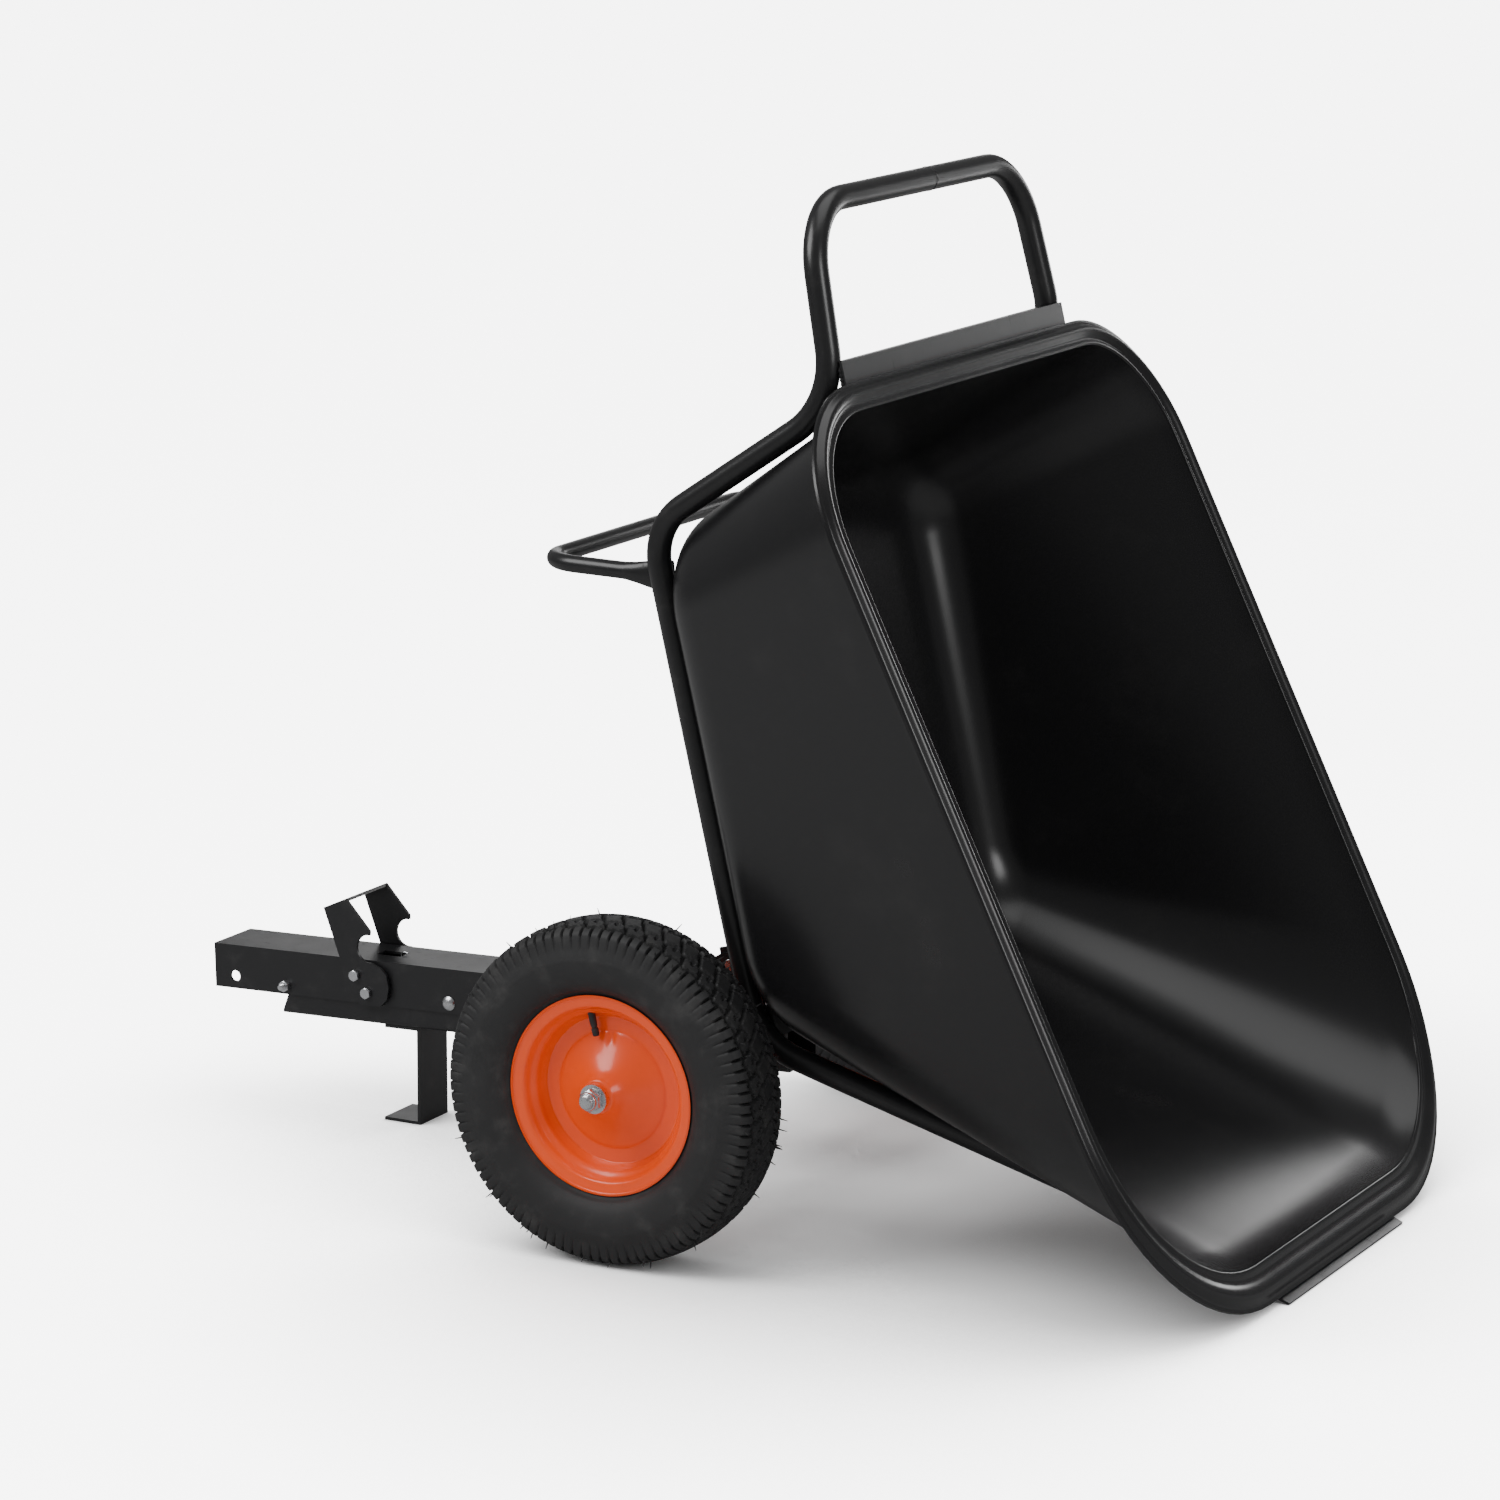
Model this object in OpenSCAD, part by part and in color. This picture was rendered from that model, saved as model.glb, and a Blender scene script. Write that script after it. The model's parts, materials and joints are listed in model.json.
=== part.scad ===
// Tow behind dump cart: poly tub on a tube frame, hinged over the axle of a
// two wheel chassis with a drawbar, a spring latch and a resting stand.
// Millimetres. +X points rearward (the dumping side), +Z up, Y = 0 is the middle.
// The origin is on the ground, in the middle of the tipped cart's length and width.

/* [Chassis] */
// Axle behind the middle of the tipped cart's length
axle_back = 13.5; // [0:0.5:20]
// Distance between the two wheel centres
track = 762; // [730:1:920]
// Drawbar length from the axle to its front end
drawbar_len = 771; // [740:1:930]
// Outside width of the drawbar channel
drawbar_w = 82; // [74:1:98]
// Depth of the front channel
front_h = 56; // [50:1:62]
// Depth of the whole drawbar behind the front channel
drawbar_h = 82; // [74:1:90]
// Sheet thickness of the drawbar
drawbar_t = 3; // [2.5:0.1:4]
// Height of the drawbar's top above the axle
drawbar_top = 19; // [19:1:30]
// Diameter of the hitch pin hole
hitch_d = 14; // [10:0.5:20]
// Hitch pin hole, from the front end
hitch_in = 30; // [20:1:40]
// Nose down angle of the chassis while it rests on the stand
dip = 1.49; // [0:0.01:3]
// Axle diameter
axle_d = 20; // [18:0.5:22]
// Radial running clearance of bores on pins
run_gap = 0.05; // [0.02:0.01:0.1]

/* [Stand] */
// Width of the stand's flat bar
stand_w = 65; // [50:1:70]
// Thickness of the flat bar
stand_t = 4; // [3:0.5:6]
// Stand's rear face, ahead of the axle
stand_x = 475; // [440:1:490]
// Length of its foot and of its top flange
stand_foot = 52; // [40:1:60]

/* [Wheels] */
// Outside diameter of the tyre
tyre_d = 400; // [380:1:480]
// Width of the tyre
tyre_w = 100; // [90:1:104]
// Diameter over the rim's flange
rim_d = 230; // [224:1:236]
// Length of the hub tube
hub_len = 90; // [80:1:96]
// Outside diameter of the hub tube
hub_d = 33; // [31:0.5:36]

/* [Dump hinge] */
// Height of the dump pivot above the axle
pivot_up = 70.5; // [66:0.5:76]
// Dump pivot behind the axle
pivot_back = -5; // [-10:1:5]
// Diameter of the pivot bolts
pivot_d = 12; // [10:1:14]
// Thickness of the tub's hinge plates
lug_t = 5; // [4:0.5:8]

/* [Tub frame] */
// Frame tube diameter
tube_d = 28; // [25:0.5:30]
// Wall of the frame tube
tube_t = 2; // [1.5:0.1:2.5]
// Height of the tub's floor above the tyres, with the tub down
tub_over_tyre = 11.8; // [8:0.1:20]
// Half distance between the bottom rails
rail_y = 276; // [272:1:290]
// Rear end of the bottom rails, behind the pivot
rail_rear = 54; // [50:1:60]
// Front end of the bottom rails, ahead of the pivot
rail_front = 545.4; // [540:1:560]
// Rear end of the frame tubes, behind the pivot
frame_rear = 397.8; // [390:0.1:410]
// Height of the frame tubes' rear ends above the rails
frame_rear_up = 512.3; // [505:0.1:520]
// Half distance between the frame tubes' rear ends
frame_rear_y = 155; // [140:1:170]
// Handle height above the rails
handle_up = 267; // [260:1:275]
// Handle bend, ahead of the pivot
handle_back = 644.2; // [640:1:650]
// Front bar of the handle, ahead of the pivot
handle_front = 865; // [840:1:1000]
// Half width of the handle at its front bar
handle_y = 265; // [230:1:275]
// Diameter of the latch loop's tube
loop_d = 20; // [18:0.5:22]

/* [Tub] */
// Length of the tub over its rim
rim_len = 1117; // [1110:1:1120]
// Width of the tub over its rim
rim_w = 930; // [800:1:1000]
// Slope of the rim plane, rising to the rear
rim_slope = 12.55; // [12:0.05:13]
// Width of the rolled lip
lip_w = 33; // [28:1:36]
// Width of the rolled lip at the rear
lip_rear = 48; // [44:1:52]
// Width of the tub's floor, corner to corner of the bend
floor_w = 645; // [600:1:650]
// Outer wall's distance in from the rim's edge
lip_root = 28.5; // [26:0.5:30]
// Thickness of the tub's wall
tub_t = 4.5; // [3:0.5:6]
// Size of the bend between floor and walls
bend = 58; // [40:1:70]

/* [Latch] */
// Thickness of the latch plates
latch_t = 4; // [3:0.5:5]
// Gap between the drawbar's cheek and the latch plate
latch_gap = 3.4; // [2:0.1:4]
// Radius of the notch that holds the loop
notch_r = 17.5; // [16:0.5:18.5]
// Diameter of the latch bolts
bolt_d = 8; // [7:0.5:9]

/* [Hidden] */
$fn = 64;

wheel_r = tyre_d / 2;
// height of the bottom rails above the pivot
rail_up = wheel_r + tub_over_tyre - pivot_up - tube_d / 2;
yw = track / 2;
mirror_y = [0, 1];
// the hinge plates stand against the inner side of the rails
lug_y = rail_y - tube_d / 2 - lug_t;
// pivot in the level chassis frame, and in the resting cart from below the axle
pc = [pivot_back, 0, pivot_up];
pw = [pc.x * cos(dip) - pc.z * sin(dip), 0, wheel_r + pc.x * sin(dip) + pc.z * cos(dip)];

// frame tube corners, relative to the pivot with the tub lowered
v1 = [rail_rear, rail_y, rail_up];
v2 = [-rail_front, rail_y, rail_up];
v3 = [-handle_back, rail_y + 11, rail_up + handle_up];
v4 = [-handle_front, handle_y, rail_up + handle_up + 4];
seam_y = 31;
rear_end = [frame_rear, frame_rear_y, rail_up + frame_rear_up];
rear_dir = [rear_end.x - v1.x, rear_end.z - v1.z] / norm([rear_end.x - v1.x, rear_end.z - v1.z]);
rear_out = [rear_dir.y, -rear_dir.x];
strip_t = 3;
strip_over = 44.5;
// the strip's corner meets the ground when the tub is tipped
corner = [rear_end.x, rear_end.z] + rear_dir * strip_over + rear_out * (tube_d / 2 + strip_t);
tip = atan2(corner.y, corner.x) + dip + asin(pw.z / norm(corner));

module chassis() { translate([axle_back, 0, wheel_r]) rotate([0, -dip, 0]) children(); }
module tipped() { translate([axle_back + pw.x, 0, pw.z]) rotate([0, tip - dip, 0]) children(); }
module both() { for (m = mirror_y) mirror([0, m, 0]) children(); }
module y_cyl(x, z, y0, y1, r) { translate([x, y0, z]) rotate([-90, 0, 0]) cylinder(r = r, h = y1 - y0); }
module z_cyl(x, y, z0, z1, r) { translate([x, y, z0]) cylinder(r = r, h = z1 - z0); }
module box(x0, x1, y0, y1, z0, z1) { translate([x0, y0, z0]) cube([x1 - x0, y1 - y0, z1 - z0]); }
module y_hex(x, z, y0, y1, af) {
    translate([x, y0, z]) rotate([-90, 0, 0]) cylinder(r = af / sqrt(3), h = y1 - y0, $fn = 6);
}
module z_hex(x, y, z0, z1, af) { translate([x, y, z0]) cylinder(r = af / sqrt(3), h = z1 - z0, $fn = 6); }
// a plate in the XZ plane between two Y values, drawn as (x, z) outlines
module y_plate(y0, y1) { translate([0, y1, 0]) rotate([90, 0, 0]) linear_extrude(y1 - y0) children(); }
// a profile of (radius, u) turned about the Y axis, u outward along +Y
module y_spin() { rotate([-90, 0, 0]) rotate_extrude() children(); }

// ---- bent tubes -------------------------------------------------------------
function unit(v) = v / norm(v);
function turn(a, b, c) = acos(unit(b - a) * unit(c - b));
function setback(p, r, i) =
    (i <= 0 || i >= len(p) - 1) ? 0 : r[i - 1] * tan(turn(p[i - 1], p[i], p[i + 1]) / 2);
module rod(a, b, r) {
    v = b - a;
    translate(a) rotate([0, acos(v.z / norm(v)), atan2(v.y, v.x)]) cylinder(r = r, h = norm(v));
}
module elbow(a, b, c, rb, r) {
    u = unit(b - a);
    w = unit(c - b);
    n = unit(cross(u, w));
    phi = turn(a, b, c);
    s = b - u * rb * tan(phi / 2);
    o = s + rb * cross(n, u);
    ex = unit(s - o);
    multmatrix([[ex.x, u.x, n.x, o.x], [ex.y, u.y, n.y, o.y], [ex.z, u.z, n.z, o.z], [0, 0, 0, 1]])
        rotate_extrude(angle = phi) translate([rb, 0]) circle(r = r);
}
// Each bend is a hair fatter than the straights, which run a little way into it.
swell = 0.04;
lap = 0.4;
module run(p, rb, r, extra = 0) {
    n = len(p);
    for (i = [0 : n - 2]) {
        d = unit(p[i + 1] - p[i]);
        a = p[i] + d * (i == 0 ? -extra : setback(p, rb, i) - lap);
        b = p[i + 1] - d * (i == n - 2 ? -extra : setback(p, rb, i + 1) - lap);
        rod(a, b, r);
    }
    for (i = [1 : n - 2]) elbow(p[i - 1], p[i], p[i + 1], rb[i - 1], r + swell);
}
module pipe(p, rb, od, t) {
    difference() {
        run(p, rb, od / 2);
        run(p, rb, od / 2 - t, 1);
    }
}

// ---- drawbar (level chassis frame, z = 0 at the axle) ------------------------
dw = drawbar_w / 2;
dz0 = drawbar_top - drawbar_h;
step_x = -drawbar_len + 96;
rear_x = 40;
beam_x = 20;
beam_z = drawbar_top - drawbar_t;
pin_x = -drawbar_len + hitch_in;
pin_z = drawbar_top - 40;
lp = [-542, -21];
la = [-558, 0];
swing = 18;
fb = [-drawbar_len + 105, drawbar_top - 45];
cb = [-428, drawbar_top - 43.5];
sb_x = -stand_x - 37;
slot = [-550, -515];
function about(c, p, a) = [c.x + (p.x - c.x) * cos(a) + (p.y - c.y) * sin(a),
    c.y - (p.x - c.x) * sin(a) + (p.y - c.y) * cos(a)];

module anchor_slot() {
    for (k = [0 : 8]) {
        q = about(lp, la, -swing * k / 8);
        y_cyl(q.x, q.y, -60, 60, bolt_d / 2 + 0.6);
    }
}
module u_section(w, t, h, r) {
    // channel open upward, bottom edges rounded
    difference() {
        union() {
            translate([-w + r, 0]) square([2 * w - 2 * r, h]);
            translate([-w, r]) square([2 * w, h - r]);
            for (s = [-1, 1]) translate([s * (w - r), r]) circle(r = r);
        }
        translate([-w + r, t]) square([2 * w - 2 * r, h]);
        translate([-w + t, r]) square([2 * (w - t), h]);
        for (s = [-1, 1]) translate([s * (w - r), r]) circle(r = r - t);
    }
}
module drawbar_front() {
    color([0.11, 0.11, 0.115]) chassis() difference() {
        box(-drawbar_len, rear_x, -dw, dw, drawbar_top - front_h, drawbar_top);
        box(-drawbar_len - 1, rear_x + 1, -dw + drawbar_t, dw - drawbar_t,
            drawbar_top - front_h - 1, drawbar_top - drawbar_t);
        y_cyl(pin_x, pin_z, -60, 60, hitch_d / 2);
        y_cyl(fb.x, fb.y, -60, 60, bolt_d / 2);
        y_cyl(cb.x, cb.y, -60, 60, bolt_d / 2);
        y_cyl(lp.x, lp.y, -60, 60, bolt_d / 2);
        anchor_slot();
        box(slot.x, slot.y, -10, 10, drawbar_top - 6, drawbar_top + 1);
        box(-beam_x - 0.3, beam_x + 0.3, -60, 60, -beam_z - 0.3, beam_z);
    }
}
module drawbar_rear() {
    w = dw - drawbar_t;
    h = drawbar_h - drawbar_t;
    color([0.11, 0.11, 0.115]) chassis() difference() {
        translate([step_x, 0, dz0]) rotate([90, 0, 90]) linear_extrude(rear_x - step_x) u_section(w, drawbar_t, h, 7);
        translate([step_x, 0, dz0]) rotate([0, 22, 0]) box(-40, 0, -60, 60, -30, h + 20);
        y_cyl(fb.x, fb.y, -60, 60, bolt_d / 2);
        y_cyl(cb.x, cb.y, -60, 60, bolt_d / 2);
        y_cyl(lp.x, lp.y, -60, 60, bolt_d / 2);
        z_cyl(sb_x, 0, dz0 - 1, dz0 + 10, bolt_d / 2);
        anchor_slot();
        box(-beam_x - 0.3, beam_x + 0.3, -60, 60, -beam_z - 0.3, beam_z + 1);
    }
}
// hex bolt across the drawbar: head on the +Y side, nut on the -Y side
module front_bolt() {
    color([0.72, 0.73, 0.75]) chassis() {
        y_cyl(fb.x, fb.y, -dw - 14, dw, bolt_d / 2);
        y_hex(fb.x, fb.y, dw, dw + 5.3, 13);
    }
}
module front_nut() {
    color([0.72, 0.73, 0.75]) chassis() difference() {
        y_hex(fb.x, fb.y, -dw - 7, -dw, 13);
        y_cyl(fb.x, fb.y, -dw - 8, -dw + 1, bolt_d / 2);
    }
}
module carriage_bolt() {
    color([0.78, 0.79, 0.8]) chassis() {
        y_cyl(cb.x, cb.y, -dw, dw + 13, bolt_d / 2);
        translate([cb.x, -dw, cb.y]) rotate([90, 0, 0]) rotate_extrude() intersection() {
            translate([0, -7]) circle(r = 11.5);
            square([9, 6]);
        }
    }
}
module carriage_nut() {
    color([0.72, 0.73, 0.75]) chassis() difference() {
        y_hex(cb.x, cb.y, dw, dw + 7, 13);
        y_cyl(cb.x, cb.y, dw - 1, dw + 8, bolt_d / 2);
    }
}

// ---- stand: foot and leg plumb on the ground, flange under the drawbar --------
leg_x = -stand_x;
leg_top = wheel_r + leg_x * sin(dip) + dz0 * cos(dip);
module stand() {
    color([0.12, 0.12, 0.125]) difference() {
        union() {
            translate([axle_back, 0, 0]) {
                box(leg_x - stand_t, leg_x, -stand_w / 2, stand_w / 2, 0, leg_top);
                box(leg_x - stand_foot, leg_x - stand_t, -stand_w / 2, stand_w / 2, 0, stand_t);
            }
            chassis() box(leg_x - stand_foot, leg_x - 1, -stand_w / 2, stand_w / 2, dz0 - stand_t, dz0);
        }
        chassis() box(leg_x - stand_foot - 9, leg_x + 30, -stand_w, stand_w, dz0, dz0 + 30);
        chassis() z_cyl(sb_x, 0, dz0 - stand_t - 1, dz0 + 1, bolt_d / 2);
    }
}
module stand_bolt() {
    color([0.72, 0.73, 0.75]) chassis() {
        z_cyl(sb_x, 0, dz0 - stand_t, dz0 + drawbar_t + 10, bolt_d / 2);
        z_hex(sb_x, 0, dz0 - stand_t - 5.3, dz0 - stand_t, 13);
    }
}
module stand_nut() {
    color([0.72, 0.73, 0.75]) chassis() difference() {
        z_hex(sb_x, 0, dz0 + drawbar_t, dz0 + drawbar_t + 7, 13);
        z_cyl(sb_x, 0, dz0, dz0 + drawbar_t + 8, bolt_d / 2);
    }
}

// ---- axle group ------------------------------------------------------------
plate_t = 6;
plate_y = lug_y - 3 - plate_t;
hub_y0 = yw - hub_len / 2;
hub_y1 = yw + hub_len / 2;
shoulder = hub_y1 + 1;
nut_h = 14;
thread_r = 8;
module axle_beam() {
    color([0.12, 0.12, 0.125]) chassis() difference() {
        box(-beam_x, beam_x, -plate_y, plate_y, -beam_z, beam_z);
        box(-beam_x + 3, beam_x - 3, -plate_y - 1, plate_y + 1, -beam_z + 3, beam_z - 3);
    }
}
module end_plates() {
    color([0.12, 0.12, 0.125]) chassis() both() difference() {
        y_plate(plate_y, plate_y + plate_t) {
            circle(r = 27);
            translate([pc.x, pc.z]) circle(r = 20);
            polygon([[-26.5, 5], [pc.x - 20, pc.z - 1], [pc.x + 20, pc.z - 1], [26.5, 5]]);
        }
        y_cyl(0, 0, plate_y - 1, plate_y + plate_t + 1, axle_d / 2);
        y_cyl(pc.x, pc.z, plate_y - 1, plate_y + plate_t + 1, pivot_d / 2);
    }
}
module axle() {
    color([0.78, 0.79, 0.8]) chassis() {
        y_cyl(0, 0, -shoulder, shoulder, axle_d / 2);
        both() {
            y_cyl(0, 0, shoulder - 1, shoulder + 19, thread_r);
            y_cyl(0, 0, shoulder + 18, shoulder + 21, 6.4);
        }
    }
}
module hub_spacers() {
    color([0.15, 0.15, 0.155]) chassis() both() difference() {
        y_cyl(0, 0, plate_y + plate_t, hub_y0 - 0.3, 14);
        y_cyl(0, 0, plate_y, hub_y0 + 1, axle_d / 2);
    }
}
module axle_washers() {
    color([0.1, 0.1, 0.1]) chassis() both() difference() {
        y_cyl(0, 0, shoulder, shoulder + 3, 17);
        y_cyl(0, 0, shoulder - 1, shoulder + 4, thread_r);
    }
}
module lock_nuts() {
    color([0.78, 0.79, 0.8]) chassis() both() difference() {
        union() {
            y_hex(0, 0, shoulder + 3, shoulder + 3 + nut_h - 4, 24);
            y_cyl(0, 0, shoulder + 3, shoulder + 3 + nut_h, 10.8);
        }
        y_cyl(0, 0, shoulder, shoulder + 30, thread_r);
    }
}
// pivot bolts: head inboard of the end plates, nut outboard of the hinge plates
module pivot_bolts() {
    color([0.72, 0.73, 0.75]) chassis() both() {
        y_cyl(pc.x, pc.z, plate_y, lug_y + 19, pivot_d / 2);
        y_hex(pc.x, pc.z, plate_y - 7.5, plate_y, 19);
    }
}
module pivot_nuts() {
    color([0.72, 0.73, 0.75]) chassis() both() difference() {
        y_hex(pc.x, pc.z, lug_y + 5.6, lug_y + 15.6, 19);
        y_cyl(pc.x, pc.z, lug_y, lug_y + 20, pivot_d / 2);
    }
}
module thrust_washers() {
    color([0.72, 0.73, 0.75]) chassis() both() difference() {
        y_cyl(pc.x, pc.z, plate_y + plate_t, lug_y - 0.4, 12);
        y_cyl(pc.x, pc.z, plate_y, lug_y + 1, pivot_d / 2);
    }
}

// ---- latch -----------------------------------------------------------------
ly0 = dw + latch_gap;
ly1 = ly0 + latch_t;
notch = [-537, 35];
latch_out = [[-601, 82], [-568, 96], [-535, 58], [-535, 55], [-541, 20], [-520, 11], [-513, 4],
    [-510, -12], [-513, -27], [-523, -37], [-552, -37], [-574, -14], [-577, 12]];
module latch_side() {
    difference() {
        polygon(latch_out);
        translate(notch) circle(r = notch_r);
    }
}
module latch() {
    n = unit([-14, 33]);
    color([0.12, 0.12, 0.125]) chassis() difference() {
        union() {
            both() y_plate(ly0, ly1) latch_side();
            y_plate(-ly1, ly1) polygon([[-601, 82], [-568, 96],
                [-568, 96] - n * latch_t, [-601, 82] - n * latch_t]);
        }
        y_cyl(lp.x, lp.y, -60, 60, bolt_d / 2 + run_gap);
        y_cyl(la.x, la.y, -60, 60, bolt_d / 2);
    }
}
module cross_bolt(c, y) {
    y_cyl(c.x, c.y, -y, y + 11, bolt_d / 2);
    y_hex(c.x, c.y, -y - 5.3, -y, 13);
}
module cross_nut(c, y) {
    difference() {
        y_hex(c.x, c.y, y, y + 6.8, 13);
        y_cyl(c.x, c.y, y - 1, y + 8, bolt_d / 2);
    }
}
module latch_pivot_bolt() { color([0.78, 0.79, 0.8]) chassis() cross_bolt(lp, ly1 + 0.3); }
module latch_pivot_nut() { color([0.72, 0.73, 0.75]) chassis() cross_nut(lp, ly1 + 0.3); }
module anchor_bolt() { color([0.78, 0.79, 0.8]) chassis() cross_bolt(la, ly1); }
module anchor_nut() { color([0.72, 0.73, 0.75]) chassis() cross_nut(la, ly1); }
// tension spring from the anchor bolt to the rear edge of the slot
module latch_spring() {
    wire = 1.2;
    coil = 4.6;
    turns = 8;
    pitch = 2.3;
    a = [la.x + bolt_d / 2 + 1.6, 0, la.y + 3.4];
    b = [slot.y - 4.5, 0, drawbar_top - 3.5];
    hook = [slot.y - 3, 0, drawbar_top + 2.6];
    tail = [slot.y + 5, 0, drawbar_top + 2.4];
    d = unit(b - a);
    m = a + d * 5;
    e = m + d * pitch * (turns - 1);
    color([0.8, 0.8, 0.82]) chassis() {
        translate(m) rotate([0, acos(d.z), 0]) {
            rotate_extrude() for (k = [0 : turns - 1]) translate([coil, k * pitch]) circle(r = wire);
            for (k = [0, turns - 1]) translate([0, 0, k * pitch]) rotate([90, 0, 0])
                cylinder(r = 0.8 * wire, h = coil);
        }
        rod(a, m, wire);
        run([e, b, hook, tail], [2.8, 2.8], wire);
        for (q = [m, e]) translate(q) sphere(r = 1.15 * wire);
        translate([la.x, 0, la.y]) rotate([90, 0, 0])
            rotate_extrude() translate([bolt_d / 2 + 1.6, 0]) circle(r = wire);
    }
}

// ---- wheels: u is measured outward from the wheel's middle plane ---------------
rr = rim_d / 2;
hr = hub_d / 2;
th = tyre_w / 2;
sheet = 2.2;
// outer face of the stamped rim half, (radius, u), from the hub to the flange
rim_face = [[hr, 40], [hr + 3, 38.5], [hr + 6, 34], [66, 5], [70, 2.8], [rr - 32, 2.3], [rr - 28, 4.5],
    [rr - 24.5, 10], [rr - 22, 16], [rr - 17, 21.5], [rr - 14, 27], [rr - 11, 30], [rr - 3, 31.4], [rr, 34]];
function rev(p) = [for (i = [len(p) - 1 : -1 : 0]) p[i]];
function neg(p) = [for (q = p) [q.x, -q.y]];
function inward(p, i) = let (a = p[max(i - 1, 0)], b = p[min(i + 1, len(p) - 1)], d = unit(b - a),
    q = p[i] + [d.y, -d.x] * sheet) [i == 0 ? hr : q.x, max(q.y, 0)];
rim_back = [for (i = [0 : len(rim_face) - 1]) inward(rim_face, i)];
// carcass from the bead to the crown, and the air space inside it
carcass = [[rr - 9.8, 27.4], [rr - 3, 28.8], [rr + 2.5, 31.2], [rr + 6, 34.5], [rr + 13, 0.85 * th],
    [rr + 24, 0.95 * th], [rr + 38, th], [rr + 48, 0.99 * th], [rr + 58, 0.95 * th],
    [wheel_r - 13, 0.9 * th], [wheel_r - 9, 0.86 * th], [wheel_r - 5, 0.74 * th],
    [wheel_r - 1.6, 0.5 * th], [wheel_r, 0.2 * th]];
cavity = [[rr - 12.5, 22], [rr - 5, 23], [rr + 3, 26.5], [rr + 14, 0.68 * th], [rr + 26, 0.8 * th],
    [rr + 38, 0.85 * th], [rr + 50, 0.83 * th], [wheel_r - 22, 0.68 * th], [wheel_r - 14, 0.4 * th],
    [wheel_r - 11, 0]];
module at_wheel(s) { translate([axle_back, s * yw, wheel_r]) mirror([0, s > 0 ? 0 : 1, 0]) children(); }
module tyre(s) {
    color([0.1, 0.1, 0.1]) at_wheel(s) y_spin()
        polygon(concat(carcass, rev(neg(carcass)), neg(cavity), rev([for (i = [0 : len(cavity) - 2]) cavity[i]])));
}
valve_a = 14;
valve_r = rr - 22;
module at_valve(s) { at_wheel(s) rotate([0, -valve_a, 0]) translate([0, 13, 0]) children(); }
module rim_half() { y_spin() polygon(concat(rim_face, rev(rim_back))); }
module rim_outer(s) {
    color([0.93, 0.33, 0.06]) difference() {
        at_wheel(s) rim_half();
        at_valve(s) cylinder(r = 4.2, h = valve_r + 12);
    }
}
module rim_inner(s) { color([0.93, 0.33, 0.06]) at_wheel(s) mirror([0, 1, 0]) rim_half(); }
module hub(s) {
    color([0.93, 0.33, 0.06]) at_wheel(s) difference() {
        y_cyl(0, 0, -hub_len / 2, hub_len / 2, hr);
        y_cyl(0, 0, -hub_len / 2 - 1, hub_len / 2 + 1, axle_d / 2 + 3);
    }
}
module bushes(s) {
    color([0.85, 0.84, 0.8]) at_wheel(s) for (m = mirror_y) mirror([0, m, 0]) difference() {
        y_cyl(0, 0, hub_len / 2 - 30, hub_len / 2, axle_d / 2 + 3);
        y_cyl(0, 0, hub_len / 2 - 31, hub_len / 2 + 1, axle_d / 2 + run_gap);
    }
}
module valve(s) {
    color([0.08, 0.08, 0.08]) at_valve(s) {
        translate([0, 0, valve_r - 18]) cylinder(r = 4.2, h = 24);
        translate([0, 0, valve_r + 6.4]) cylinder(r = 6.5, h = 2.2);
    }
}
module valve_cap(s) { color([0.12, 0.12, 0.12]) at_valve(s) translate([0, 0, valve_r - 28]) cylinder(r = 3.9, h = 10); }
module tyre_left() { tyre(-1); }
module tyre_right() { tyre(1); }
module rim_outer_left() { rim_outer(-1); }
module rim_outer_right() { rim_outer(1); }
module rim_inner_left() { rim_inner(-1); }
module rim_inner_right() { rim_inner(1); }
module hub_left() { hub(-1); }
module hub_right() { hub(1); }
module bushes_left() { bushes(-1); }
module bushes_right() { bushes(1); }
module valve_left() { valve(-1); }
module valve_right() { valve(1); }
module valve_cap_left() { valve_cap(-1); }
module valve_cap_right() { valve_cap(1); }

// ---- tub: rings of points from the floor, up the outside, over the lip, back down
nc = 7;
rings_n = 4 * (nc + 1);
floor_z = rail_up + tube_d / 2;
floor_x = [-rail_front + 15.4, rail_rear - 18];
lip_at = [-handle_back - 20.1, 0, rail_up + 291.2];
along = [cos(rim_slope), 0, sin(rim_slope)];
upward = [-sin(rim_slope), 0, cos(rim_slope)];
rim_front_r = 172;
rim_rear_r = 262;
floor_r = 95;
function arc(cx, cy, r, a0) = [for (k = [0 : nc]) [cx + r * cos(a0 + 90 * k / nc), cy + r * sin(a0 + 90 * k / nc)]];
function outline(x0, x1, w, rf, rb) = concat(arc(x1 - rb, rb - w, rb, -90), arc(x1 - rb, w - rb, rb, 0),
    arc(x0 + rf, w - rf, rf, 90), arc(x0 + rf, rf - w, rf, 180));
function rim_ring(a, h) = let (s = a * lip_w / 33) [for (q = outline(s, rim_len - s * lip_rear / lip_w,
    rim_w / 2 - s, rim_front_r - s, rim_rear_r - s)) lip_at + along * q.x + [0, q.y, 0] + upward * h];
function floor_ring(a, z) = [for (q = outline(floor_x[0] + a, floor_x[1] - a, floor_w / 2 - a,
    floor_r - a, floor_r - a)) [q.x, q.y, z]];
function wall_ring(f, r, d) = [for (i = [0 : rings_n - 1]) f[i] + unit(r[i] - f[i]) * d];
function bend_ring(q, f, w, t) = [for (i = [0 : rings_n - 1])
    q[i] * (1 - t) * (1 - t) + f[i] * 2 * t * (1 - t) + w[i] * t * t];
wall_n = 6;
function part_way(a, b, t) = [for (i = [0 : rings_n - 1]) a[i] + (b[i] - a[i]) * t];
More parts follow.
